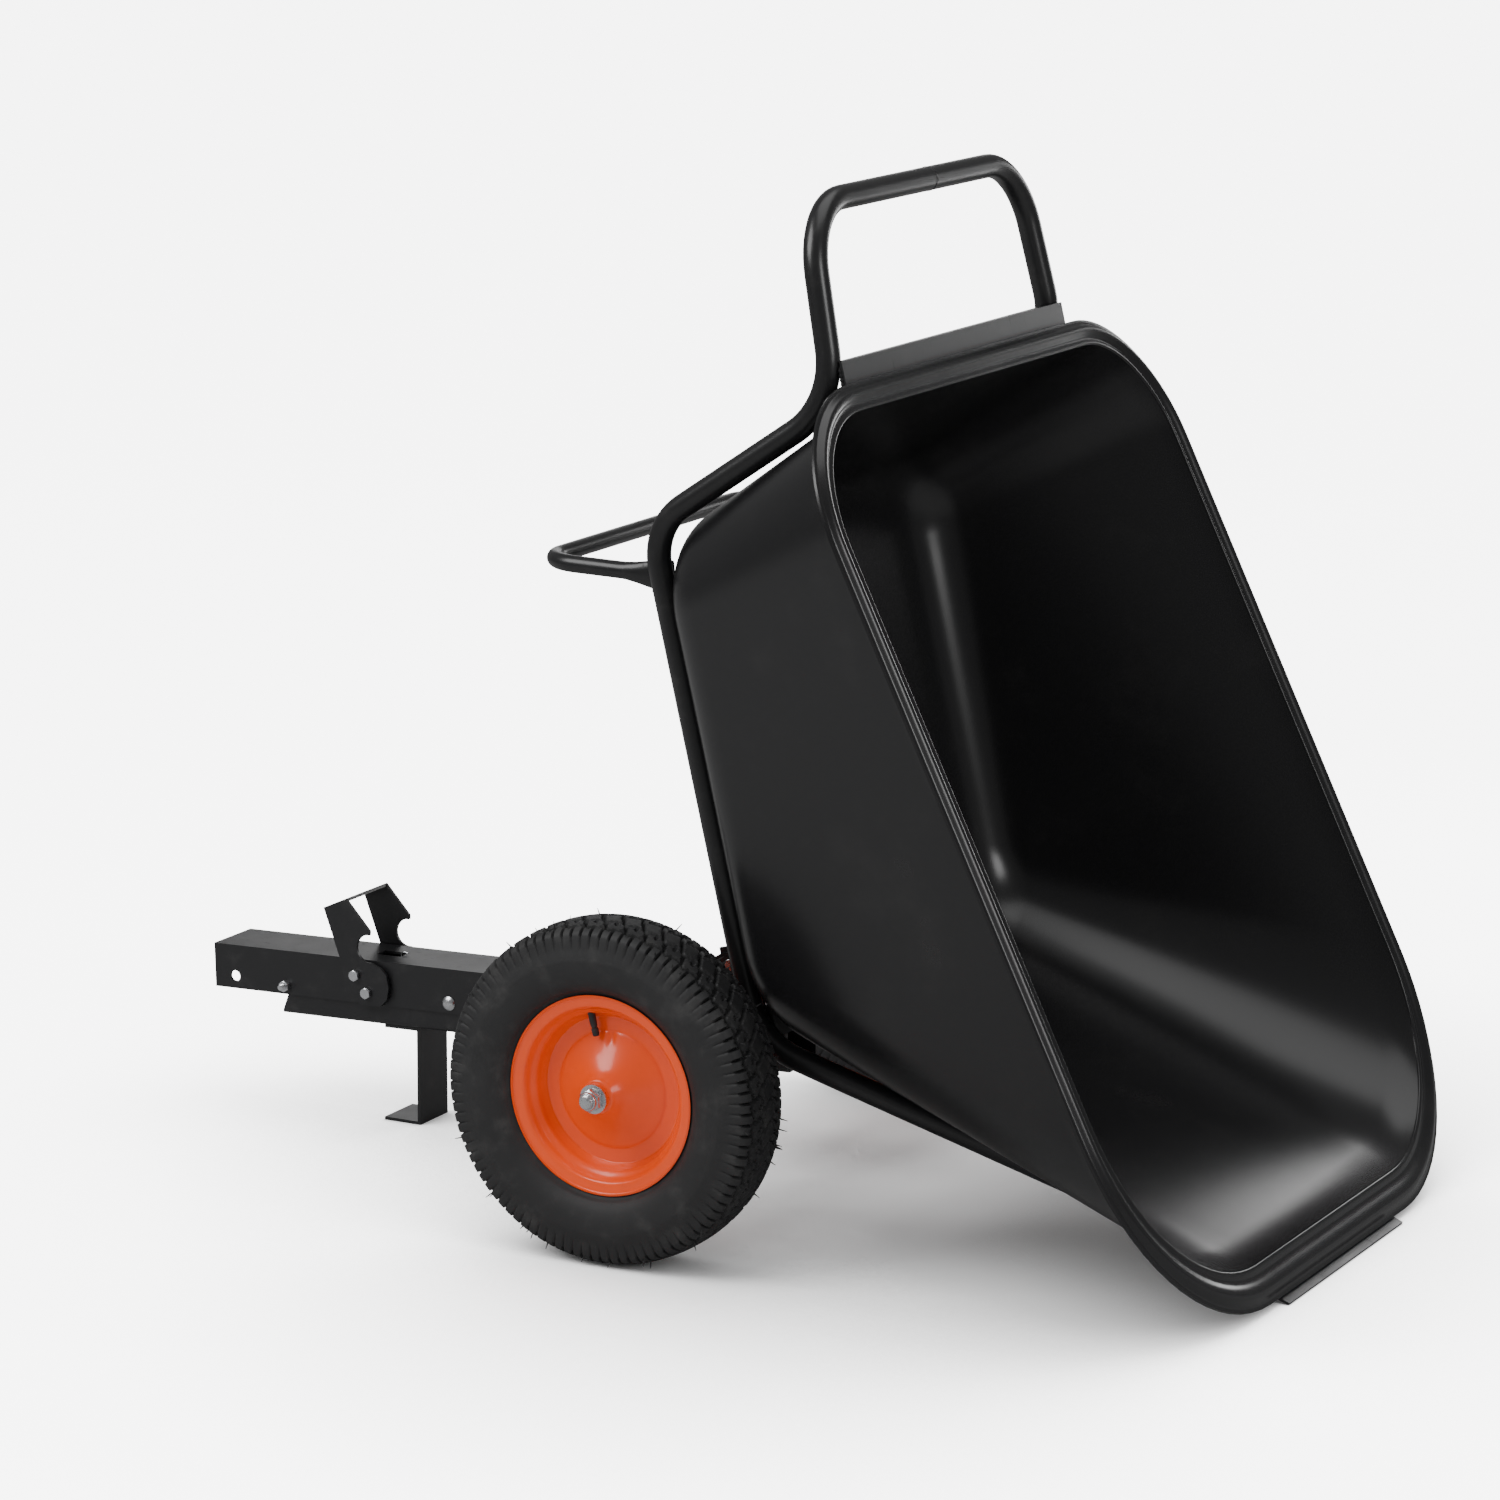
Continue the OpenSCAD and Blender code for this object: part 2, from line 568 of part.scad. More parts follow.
function side(inset, z, rim) = let (f = floor_ring(inset, z), q = floor_ring(inset + bend, z),
    w = wall_ring(f, rim, bend)) concat([for (k = [0 : 6]) bend_ring(q, f, w, k / 6)],
    [for (k = [1 : wall_n - 1]) part_way(w, rim, k / wall_n)]);
lip_under = [[lip_root, -3.6], [25, -2.2], [20, -0.4], [15, 2.6], [10, 2.4], [6, -1], [3, -3], [0, -3]];
lip_top = [[0, 0], [4, 0.4], [6.5, 2.6], [10, 6], [14, 7], [18, 5.6], [22, 2.6], [25, 1.8], [28, 2.6],
    [lip_root + tub_t - 2.5, 3], [lip_root + tub_t - 0.6, 2], [lip_root + tub_t, -0.5]];
outer_rim = rim_ring(lip_under[0].x, lip_under[0].y);
inner_rim = rim_ring(lip_root + tub_t, -0.5);
tub_rings = concat(side(0, floor_z, outer_rim), [for (p = lip_under) rim_ring(p.x, p.y)],
    [for (p = lip_top) rim_ring(p.x, p.y)], rev(side(0.8 * tub_t, floor_z + tub_t, inner_rim)));
tub_pts = [for (r = tub_rings) each r];
last = len(tub_rings) - 1;
tub_faces = concat([[for (k = [0 : rings_n - 1]) k]],
    [for (i = [0 : last - 1]) for (k = [0 : rings_n - 1]) [i * rings_n + k, (i + 1) * rings_n + k,
        (i + 1) * rings_n + (k + 1) % rings_n, i * rings_n + (k + 1) % rings_n]],
    [[for (k = [rings_n - 1 : -1 : 0]) last * rings_n + k]]);
strap_x = [-36.3, 36];
strap_t = 5;
strap_w = 40;
tub_bolt_y = 110;
lug_bolt_z = rail_up - 22.1;
module tub() {
    color([0.05, 0.05, 0.052]) tipped() difference() {
        polyhedron(points = tub_pts, faces = tub_faces, convexity = 6);
        for (x = strap_x) for (y = [-tub_bolt_y, tub_bolt_y]) z_cyl(x, y, floor_z - 2, floor_z + tub_t + 2, bolt_d / 2);
    }
}

// ---- tub frame -------------------------------------------------------------
bends = [90, 70, 89, 87];
function flipped(p, s) = [p.x, s * p.y, p.z];
module frame_side(s, y_end) {
    color([0.07, 0.07, 0.073]) tipped() pipe([flipped(rear_end, s), flipped(v1, s), flipped(v2, s), flipped(v3, s),
        flipped(v4, s), [v4.x, y_end, v4.z]], bends, tube_d, tube_t);
}
module frame_left() { frame_side(-1, seam_y); }
module frame_right() { frame_side(1, seam_y + 0.3); }
module handle_joint() {
    color([0.1, 0.1, 0.1]) tipped() rod([v4.x, seam_y - 40, v4.z], [v4.x, seam_y + 40, v4.z], tube_d / 2 - tube_t);
}
strip_w = 44;
front_strip_x = -handle_back - 45;
front_strip_z = v3.z + tube_d / 2 + 0.9;
module front_strip() {
    color([0.09, 0.09, 0.093]) tipped() {
        box(front_strip_x, front_strip_x + strip_w, -rail_y - 9.8, rail_y + 9.8, front_strip_z, front_strip_z + strip_t);
        box(front_strip_x, front_strip_x + strip_t, -rail_y + 14, rail_y - 14, front_strip_z - 20, front_strip_z);
    }
}
module rear_strip() {
    r = tube_d / 2;
    color([0.09, 0.09, 0.093]) tipped() translate([rear_end.x, 0, rear_end.z])
        rotate([0, -atan2(rear_dir.y, rear_dir.x), 0]) {
            box(strip_over - 60, strip_over, -rear_end.y - 17, rear_end.y + 17, -r - strip_t, -r);
            box(strip_over - 60, strip_over - 60 + strip_t, -rear_end.y + 19, rear_end.y - 19, -r, -r + 18);
        }
}
rail_in = rail_y - tube_d / 2;
loop_y = rail_in - loop_d / 2 - 0.5;
loop_at = [-rail_front + 17.6, drawbar_top + loop_d / 2 + 0.2 - pivot_up];
loop_lean = [41.5, 159.8] / norm([41.5, 159.8]);
loop_end = loop_at + loop_lean * 126;
module latch_loop() {
    color([0.07, 0.07, 0.073]) tipped() {
        pipe([[loop_end.x, -loop_y, loop_end.y], [loop_at.x, -loop_y, loop_at.y], [loop_at.x, loop_y, loop_at.y],
            [loop_end.x, loop_y, loop_end.y]], [46, 46], loop_d, 2);
        both() y_plate(rail_in - 7, rail_in) polygon([[loop_end.x - 14, loop_end.y - 20], [loop_end.x + 6, loop_end.y - 20],
            [loop_end.x + 27, rail_up - 18], [loop_end.x + 34, rail_up + 10],
            [loop_end.x - 8, rail_up + 10], [loop_end.x - 16, rail_up - 22]]);
    }
}
// the rails start to bend up and inward here
rail_bend_x = rail_rear - bends[0] * tan(turn(rear_end, v1, v2) / 2);
module hinge_lugs() {
    color([0.07, 0.07, 0.073]) tipped() both() difference() {
        y_plate(lug_y, lug_y + lug_t) {
            circle(r = 22);
            polygon([[-50, rail_up + 8], [rail_bend_x - 4, rail_up + 8], [rail_bend_x + 10, rail_up - 2],
                [46, rail_up - 6], [46, rail_up - 32], [21.9, 2], [-21.9, 2], [-50, rail_up - 34]]);
        }
        y_cyl(0, 0, lug_y - 1, lug_y + lug_t + 1, pivot_d / 2 + 3);
        for (x = strap_x) y_cyl(x, lug_bolt_z, lug_y - 1, lug_y + lug_t + 1, bolt_d / 2);
    }
}
module pivot_bushes() {
    color([0.75, 0.6, 0.3]) tipped() both() difference() {
        y_cyl(0, 0, lug_y - 0.1, lug_y + lug_t + 0.1, pivot_d / 2 + 3);
        y_cyl(0, 0, lug_y - 1, lug_y + lug_t + 1, pivot_d / 2 + run_gap);
    }
}
module cross_straps() {
    color([0.07, 0.07, 0.073]) tipped() for (x = strap_x) difference() {
        union() {
            box(x - strap_w / 2, x + strap_w / 2, -lug_y, lug_y, floor_z - strap_t, floor_z);
            both() box(x - strap_w / 2, x + strap_w / 2, lug_y - strap_t, lug_y, lug_bolt_z - 15, floor_z);
        }
        for (y = [-tub_bolt_y, tub_bolt_y]) z_cyl(x, y, floor_z - strap_t - 1, floor_z + 1, bolt_d / 2);
        both() y_cyl(x, lug_bolt_z, lug_y - strap_t - 1, lug_y + 1, bolt_d / 2);
    }
}
module strap_bolts() {
    color([0.72, 0.73, 0.75]) tipped() both() for (x = strap_x) {
        y_cyl(x, lug_bolt_z, lug_y - strap_t - 10, lug_y + lug_t, bolt_d / 2);
        y_hex(x, lug_bolt_z, lug_y + lug_t, lug_y + lug_t + 5.3, 13);
    }
}
module strap_nuts() {
    color([0.72, 0.73, 0.75]) tipped() both() for (x = strap_x) difference() {
        y_hex(x, lug_bolt_z, lug_y - strap_t - 6.8, lug_y - strap_t, 13);
        y_cyl(x, lug_bolt_z, lug_y - strap_t - 8, lug_y, bolt_d / 2);
    }
}
module tub_bolts() {
    color([0.2, 0.2, 0.2]) tipped() for (x = strap_x) for (y = [-tub_bolt_y, tub_bolt_y]) {
        z_cyl(x, y, floor_z - strap_t - 10, floor_z + tub_t, bolt_d / 2);
        translate([x, y, floor_z + tub_t]) rotate_extrude() intersection() {
            translate([0, -11]) circle(r = 15.5);
            square([11, 6]);
        }
    }
}
module tub_nuts() {
    color([0.72, 0.73, 0.75]) tipped() for (x = strap_x) for (y = [-tub_bolt_y, tub_bolt_y]) difference() {
        z_hex(x, y, floor_z - strap_t - 6.8, floor_z - strap_t, 13);
        z_cyl(x, y, floor_z - strap_t - 8, floor_z, bolt_d / 2);
    }
}

drawbar_front();
drawbar_rear();
front_bolt();
front_nut();
carriage_bolt();
carriage_nut();
stand();
stand_bolt();
stand_nut();
axle_beam();
end_plates();
axle();
hub_spacers();
axle_washers();
lock_nuts();
pivot_bolts();
pivot_nuts();
thrust_washers();
latch_pivot_bolt();
latch_pivot_nut();
latch_spring();
latch();
anchor_bolt();
anchor_nut();
tyre_left();
rim_outer_left();
rim_inner_left();
hub_left();
bushes_left();
valve_left();
valve_cap_left();
tyre_right();
rim_outer_right();
rim_inner_right();
hub_right();
bushes_right();
valve_right();
valve_cap_right();
tub();
frame_left();
frame_right();
handle_joint();
front_strip();
rear_strip();
latch_loop();
hinge_lugs();
pivot_bushes();
cross_straps();
strap_bolts();
strap_nuts();
tub_bolts();
tub_nuts();
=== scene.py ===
# %% [markdown]
# # A tow behind dump cart
# A black moulded tub hangs on a bent tube frame, hinged over the axle of a two wheel chassis.
# The chassis has a drawbar with a spring latch and a folded stand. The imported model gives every
# body, node, joint and size, so this lesson only adds surfaces and finishes to it.

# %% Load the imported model
import json
import math

import bmesh
import bpy
import numpy as np
from mathutils import Matrix, Vector


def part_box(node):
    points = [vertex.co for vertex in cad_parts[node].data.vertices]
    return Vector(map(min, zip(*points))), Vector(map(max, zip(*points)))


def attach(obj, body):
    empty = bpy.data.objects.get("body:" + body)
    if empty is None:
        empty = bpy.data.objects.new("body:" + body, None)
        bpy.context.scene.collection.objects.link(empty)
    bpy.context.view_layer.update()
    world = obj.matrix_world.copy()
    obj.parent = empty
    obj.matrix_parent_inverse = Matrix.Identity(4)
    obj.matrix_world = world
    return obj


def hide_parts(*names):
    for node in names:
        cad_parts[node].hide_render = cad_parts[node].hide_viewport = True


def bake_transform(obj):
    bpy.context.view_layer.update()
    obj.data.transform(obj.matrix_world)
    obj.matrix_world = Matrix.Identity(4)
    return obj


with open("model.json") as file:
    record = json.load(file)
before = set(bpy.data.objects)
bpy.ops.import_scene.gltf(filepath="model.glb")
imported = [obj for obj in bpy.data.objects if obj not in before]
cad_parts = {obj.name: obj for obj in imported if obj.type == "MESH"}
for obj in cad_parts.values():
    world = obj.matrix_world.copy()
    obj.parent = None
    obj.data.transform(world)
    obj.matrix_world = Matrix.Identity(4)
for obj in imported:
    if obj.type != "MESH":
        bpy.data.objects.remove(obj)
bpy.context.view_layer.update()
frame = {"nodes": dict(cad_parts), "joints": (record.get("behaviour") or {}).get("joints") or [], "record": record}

nodes = frame["nodes"]

# %% [markdown]
# ## Camera first
# The view is a long lens from the left rear quarter, a little above the wheels, so that the open
# tub and the drawbar both show. The camera is built from its own three axes, because a list of
# axes is easier to check than three angles.

# %% The camera
AZIMUTH, ELEVATION, ROLL = math.radians(28.14), math.radians(12.37), math.radians(0.18)
FOCAL, SENSOR = 127.7, 36
CAMERA_BACK, CAMERA_SIDE, CAMERA_UP = 2.878, -5.438, 1.870
away = Vector((math.sin(AZIMUTH) * math.cos(ELEVATION),
               -math.cos(AZIMUTH) * math.cos(ELEVATION), math.sin(ELEVATION)))
level = Vector((math.cos(AZIMUTH), math.sin(AZIMUTH), 0))
above = away.cross(level)
right = level * math.cos(ROLL) + above * math.sin(ROLL)
up = above * math.cos(ROLL) - level * math.sin(ROLL)
camera = bpy.data.objects.new("camera", bpy.data.cameras.new("camera"))
camera.data.lens, camera.data.sensor_width = FOCAL, SENSOR
camera.data.clip_end = 200
camera.matrix_world = Matrix((right, up, away)).transposed().to_4x4()
axle_low, axle_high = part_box("axle")
camera.location = ((axle_low.x + axle_high.x) / 2 + CAMERA_BACK, CAMERA_SIDE, CAMERA_UP)
bpy.context.scene.collection.objects.link(camera)
bpy.context.scene.camera = camera

# %% [markdown]
# ## Two working frames
# Parts are easiest to describe where they are square: the chassis level with its axle, and the
# tub lying down on its rails. Both are measured in millimetres here. One function turns level
# chassis points into the resting cart, which noses down a little onto its stand, and one tips
# the tub about the dump pivot until its rear strip meets the ground.

# %% Frames and the main sizes, in millimetres
MM = 0.001
DIP = math.radians(1.49)
joint_at = {j["name"]: np.array(j["pos_m"]) / MM for j in frame["joints"]}
pivot = joint_at["tub_dump"]
axle_x = (axle_low.x + axle_high.x) / 2 / MM
wheel_low, wheel_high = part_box("tyre_left")
wheel_r = (wheel_high.z - wheel_low.z) / 2 / MM
half_track = -(wheel_low.y + wheel_high.y) / 2 / MM
tyre_half = (wheel_high.y - wheel_low.y) / 2 / MM

RAIL_UP, RAIL_Y, TUBE_R, TUBE_WALL = 127.3, 276.0, 14.0, 2.0
rear_end = np.array([397.8, 155.0, 639.6])
rail_back = np.array([54.0, RAIL_Y, RAIL_UP])
rail_fore = np.array([-545.4, RAIL_Y, RAIL_UP])
handle_low = np.array([-644.2, RAIL_Y + 11, RAIL_UP + 267])
handle_top = np.array([-865.0, 265.0, RAIL_UP + 271])
SEAM_Y = 31.0
climb = (rear_end - rail_back)[[0, 2]]
climb = climb / np.linalg.norm(climb)
corner = rear_end[[0, 2]] + climb * 44.5 + np.array([climb[1], -climb[0]]) * (TUBE_R + 3)
TILT = math.atan2(corner[1], corner[0]) + math.asin(pivot[2] / np.linalg.norm(corner))


def tipped(p):
    """Points of the lowered tub, measured from the dump pivot, tipped to the rear by TILT."""
    p = np.asarray(p, float)
    c, s = math.cos(TILT), math.sin(TILT)
    return np.stack([p[..., 0] * c + p[..., 2] * s, p[..., 1],
                     p[..., 2] * c - p[..., 0] * s], -1) + pivot


def chassis(p):
    """Points measured from the axle of the level chassis, turned nose down by DIP."""
    p = np.asarray(p, float)
    c, s = math.cos(DIP), math.sin(DIP)
    return np.stack([p[..., 0] * c - p[..., 2] * s, p[..., 1],
                     p[..., 0] * s + p[..., 2] * c], -1) + np.array([axle_x, 0, wheel_r])


print(f"tub tipped {math.degrees(TILT):.2f} degrees, wheels {2 * wheel_r:.0f} mm")

# %% [markdown]
# ## From arrays to meshes
# Almost every piece of the cart is a grid: rings of points laid one after another. A small set of
# helpers turns such a grid into a mesh, turns a profile about an axle, and carries a round
# section along a bent path. Each works on whole arrays.

# %% Mesh helpers
def quads(rows, columns, close_rows, close_columns):
    """Corner numbers of the four-sided faces of a grid, joined round where a side closes."""
    r = np.arange(rows if close_rows else rows - 1)
    c = np.arange(columns if close_columns else columns - 1)
    r, c = np.meshgrid(r, c, indexing="ij")
    down, across = (r + 1) % rows, (c + 1) % columns
    return np.stack([r * columns + c, down * columns + c,
                     down * columns + across, r * columns + across], -1).reshape(-1, 4)


def capped(rows, columns):
    """Faces of a grid closed round its columns, with a flat cap on its first and last rows."""
    return [list(f) for f in quads(rows, columns, False, True)] + [
        list(range(columns)), list(range((rows - 1) * columns, rows * columns))]


def piece(name, points, faces, body, material, hides=(), crease=35):
    """Makes a mesh piece from millimetre points and faces, smooth but for creases in degrees,
    and hangs it on a body, if one is named, in place of the nodes that it hides."""
    mesh = bpy.data.meshes.new(name)
    mesh.from_pydata((np.asarray(points).reshape(-1, 3) * MM).tolist(), [],
                     [list(f) for f in faces])
    b = bmesh.new()
    b.from_mesh(mesh)
    bmesh.ops.recalc_face_normals(b, faces=b.faces)
    b.to_mesh(mesh)
    b.free()
    mesh.polygons.foreach_set("use_smooth", np.ones(len(mesh.polygons), bool))
    mesh.set_sharp_from_angle(angle=math.radians(crease))
    mesh.materials.append(material)
    thing = bpy.data.objects.new(name, mesh)
    bpy.context.scene.collection.objects.link(thing)
    if body:
        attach(thing, body)
    if hides:
        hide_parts(*hides)
    return thing


def stack(parts):
    """Joins several (points, faces) pairs into one pair, counting the points on."""
    points, faces, count = [], [], 0
    for p, f in parts:
        p = np.asarray(p).reshape(-1, 3)
        points.append(p)
        faces += [[int(i) + count for i in face] for face in f]
        count += len(p)
    return np.concatenate(points), faces


def smooth_line(points, steps):
    """A Catmull-Rom curve through the points, with that many steps between each pair."""
    p = np.asarray(points, float)
    ends = np.concatenate([[2 * p[0] - p[1]], p, [2 * p[-1] - p[-2]]])
    t = np.arange(steps)[:, None] / steps
    a, b, c, d = ends[:-3, None], ends[1:-2, None], ends[2:-1, None], ends[3:, None]
    curve = 0.5 * (2 * b + (c - a) * t + (2 * a - 5 * b + 4 * c - d) * t ** 2
                   + (3 * b - a - 3 * c + d) * t ** 3)
    return np.concatenate([curve.reshape(-1, p.shape[1]), p[-1:]])


def even_line(points, count):
    """The same line with count points, evenly spaced along its length."""
    run = np.concatenate([[0], np.cumsum(np.linalg.norm(np.diff(points, axis=0), axis=1))])
    at = np.linspace(0, run[-1], count)
    return np.stack([np.interp(at, run, points[:, k]) for k in range(points.shape[1])], -1)


def turned(profile, around, side=1):
    """A closed (radius, outward) profile turned about the axle line, outward to one side.
    Point = (r cos a, side * u, r sin a); returned as rings, one for each profile point."""
    a = np.linspace(0, 2 * math.pi, around, endpoint=False)
    r, u = profile[:, 0][:, None], profile[:, 1][:, None]
    return np.stack([r * np.cos(a), side * u + 0 * a, r * np.sin(a)], -1)


def path_frames(path):
    """Two unit vectors square to a path at each point, carried along it with no twist."""
    ahead = np.gradient(path, axis=0)
    ahead /= np.linalg.norm(ahead, axis=1, keepdims=True)
    start = np.cross(ahead[0], [0.0, 1.0, 0.0])
    if np.linalg.norm(start) < 0.2:
        start = np.cross(ahead[0], [1.0, 0.0, 0.0])
    sides = [start / np.linalg.norm(start)]
    for t in ahead[1:]:
        s = sides[-1] - t * (sides[-1] @ t)
        sides.append(s / np.linalg.norm(s))
    sides = np.array(sides)
    return sides, np.cross(ahead, sides)


def swept(path, across, along=None, around=32):
    """Rings of an ellipse with half sizes across and along, square to the path."""
    s, t = path_frames(path)
    a = np.linspace(0, 2 * math.pi, around, endpoint=False)
    across = np.broadcast_to(across, len(path))[:, None, None]
    along = across if along is None else np.broadcast_to(along, len(path))[:, None, None]
    return (path[:, None] + across * np.cos(a)[None, :, None] * s[:, None]
            + along * np.sin(a)[None, :, None] * t[:, None])


def bent(corners, radii, step=6.0):
    """A path through corners with each bend an arc of its radius; points a step apart."""
    c = [np.asarray(p, float) for p in corners]
    out = [c[0]]
    for before, at, after, r in zip(c, c[1:], c[2:], radii):
        u, w = at - before, after - at
        u, w = u / np.linalg.norm(u), w / np.linalg.norm(w)
        turn = math.acos(np.clip(u @ w, -1, 1))
        first = at - u * r * math.tan(turn / 2)
        inward = (w - u * (u @ w)) / math.sin(turn)
        a = np.linspace(0, turn, 14)[:, None]
        out += list(first + r * (u * np.sin(a) + inward * (1 - np.cos(a))))
    out.append(c[-1])
    line = np.array(out)
    dense = []
    for p, q in zip(line, line[1:]):
        n = max(1, round(np.linalg.norm(q - p) / (4 * step)))
        dense.append(p + (q - p) * (np.arange(n) / n)[:, None])
    return np.concatenate(dense + [line[-1:]])


def open_tube(path, radius, wall, around=32):
    """A tube with a real wall: rings out along the path and back inside it, closed both ways."""
    rings = np.concatenate([swept(path, radius, around=around),
                            swept(path, radius - wall, around=around)[::-1]])
    return rings, quads(len(rings), around, True, True)


# %% [markdown]
# ## Finishes
# Paint, poly and steel all show two things that a flat colour lacks: a slow drift in gloss
# across the panel, and a fine grain that breaks up the highlight. One node group makes both, and
# each material sets its own sizes. A second group lays a thin, patchy film of dust or rubbed
# metal, and a third draws the hair-fine scuffs that handling leaves.

# %% Node groups that several finishes share
def socket(group, name, kind, default=None, out=False):
    s = group.interface.new_socket(name=name, in_out="OUTPUT" if out else "INPUT",
                                   socket_type="NodeSocket" + kind)
    if default is not None:
        s.default_value = default
    return s


def add(tree, kind, at=(0, 0), **values):
    """Adds a node; values set its properties, or its inputs where a name starts with in_."""
    n = tree.nodes.new(kind)
    n.location = at
    for key, value in values.items():
        if key.startswith("in_"):
            n.inputs[key[3:].replace("_", " ")].default_value = value
        else:
            setattr(n, key, value)
    return n


def join(tree, *links):
    """Makes links, each given as a node, its output, the next node and its input."""
    for node, out, onward, into in links:
        tree.links.new(node.outputs[out], onward.inputs[into])


def grain_group():
    """Gloss drift from large noise, grain from small noise through a bump."""
    g = bpy.data.node_groups.new("surface_grain", "ShaderNodeTree")
    for name, value in (("Roughness", 0.4), ("Drift", 0.1), ("Drift Scale", 6.0),
                        ("Grain Scale", 900.0), ("Grain Height", 0.1)):
        socket(g, name, "Float", value)
    socket(g, "Roughness", "Float", out=True)
    socket(g, "Cloud", "Float", out=True)
    socket(g, "Normal", "Vector", out=True)
    a, z = add(g, "NodeGroupInput", (-900, 0)), add(g, "NodeGroupOutput", (600, 0))
    where = add(g, "ShaderNodeTexCoord", (-900, -300))
    cloud = add(g, "ShaderNodeTexNoise", (-600, 150), in_Detail=5.0, in_Roughness=0.6)
    fine = add(g, "ShaderNodeTexNoise", (-600, -250), in_Detail=3.0, in_Roughness=0.55)
    spread = add(g, "ShaderNodeMath", (-300, 150), operation="MULTIPLY_ADD")
    centre = add(g, "ShaderNodeMath", (-450, 300), operation="SUBTRACT")
    centre.inputs[1].default_value = 0.5
    bump = add(g, "ShaderNodeBump", (200, -250), in_Distance=0.0004)
    join(g, (where, "Object", cloud, "Vector"), (where, "Object", fine, "Vector"),
         (a, "Drift Scale", cloud, "Scale"), (a, "Grain Scale", fine, "Scale"),
         (cloud, "Fac", centre, 0), (centre, 0, spread, 0), (a, "Drift", spread, 1),
         (a, "Roughness", spread, 2), (fine, "Fac", bump, "Height"),
         (a, "Grain Height", bump, "Strength"), (spread, 0, z, "Roughness"),
         (cloud, "Fac", z, "Cloud"), (bump, "Normal", z, "Normal"))
    return g


def film_group():
    """A second colour over the first where a noise passes a threshold, up to an amount."""
    g = bpy.data.node_groups.new("patchy_film", "ShaderNodeTree")
    socket(g, "Base", "Color", (0.5, 0.5, 0.5, 1))
    socket(g, "Film", "Color", (0.5, 0.45, 0.4, 1))
    for name, value in (("Amount", 0.2), ("Scale", 20.0), ("Threshold", 0.55), ("Softness", 0.2)):
        socket(g, name, "Float", value)
    socket(g, "Color", "Color", out=True)
    socket(g, "Mask", "Float", out=True)
    a, z = add(g, "NodeGroupInput", (-900, 0)), add(g, "NodeGroupOutput", (600, 0))
    where = add(g, "ShaderNodeTexCoord", (-900, -300))
    noise = add(g, "ShaderNodeTexNoise", (-650, -100), in_Detail=8.0, in_Roughness=0.65)
    top = add(g, "ShaderNodeMath", (-450, -300), operation="ADD")
    band = add(g, "ShaderNodeMapRange", (-250, -100), interpolation_type="SMOOTHSTEP")
    much = add(g, "ShaderNodeMath", (0, -100), operation="MULTIPLY")
    mix = add(g, "ShaderNodeMix", (250, 100), data_type="RGBA")
    join(g, (where, "Object", noise, "Vector"), (a, "Scale", noise, "Scale"),
         (a, "Threshold", top, 0), (a, "Softness", top, 1), (noise, "Fac", band, "Value"),
         (a, "Threshold", band, "From Min"), (top, 0, band, "From Max"),
         (band, "Result", much, 0), (a, "Amount", much, 1), (much, 0, mix, "Factor"),
         (a, "Base", mix, "A"), (a, "Film", mix, "B"), (mix, "Result", z, "Color"),
         (much, 0, z, "Mask"))
    return g


def scuff_group():
    """Thin long marks: noise stretched hard along one axis, kept only at its crests."""
    g = bpy.data.node_groups.new("hair_scuffs", "ShaderNodeTree")
    socket(g, "Stretch", "Vector", (400.0, 6.0, 60.0))
    socket(g, "Turn", "Vector", (0.0, 0.0, 0.0))
    socket(g, "Amount", "Float", 0.2)
    socket(g, "Mask", "Float", out=True)
    a, z = add(g, "NodeGroupInput", (-900, 0)), add(g, "NodeGroupOutput", (600, 0))
    where = add(g, "ShaderNodeTexCoord", (-900, -300))
    place = add(g, "ShaderNodeMapping", (-650, -100))
    noise = add(g, "ShaderNodeTexNoise", (-400, -100), in_Scale=1.0, in_Detail=2.0)
    crest = add(g, "ShaderNodeMapRange", (-150, -100))
    crest.inputs["From Min"].default_value = 0.68
    crest.inputs["From Max"].default_value = 0.76
    much = add(g, "ShaderNodeMath", (100, -100), operation="MULTIPLY")
    join(g, (where, "Object", place, "Vector"), (a, "Stretch", place, "Scale"),
         (a, "Turn", place, "Rotation"), (place, "Vector", noise, "Vector"),
         (noise, "Fac", crest, "Value"), (crest, "Result", much, 0), (a, "Amount", much, 1),
         (much, 0, z, "Mask"))
    return g


GRAIN, FILM, SCUFF = grain_group(), film_group(), scuff_group()
GRAIN_KEYS = ("Roughness", "Drift", "Drift Scale", "Grain Scale", "Grain Height")
FILM_KEYS = ("Amount", "Scale", "Threshold", "Softness")


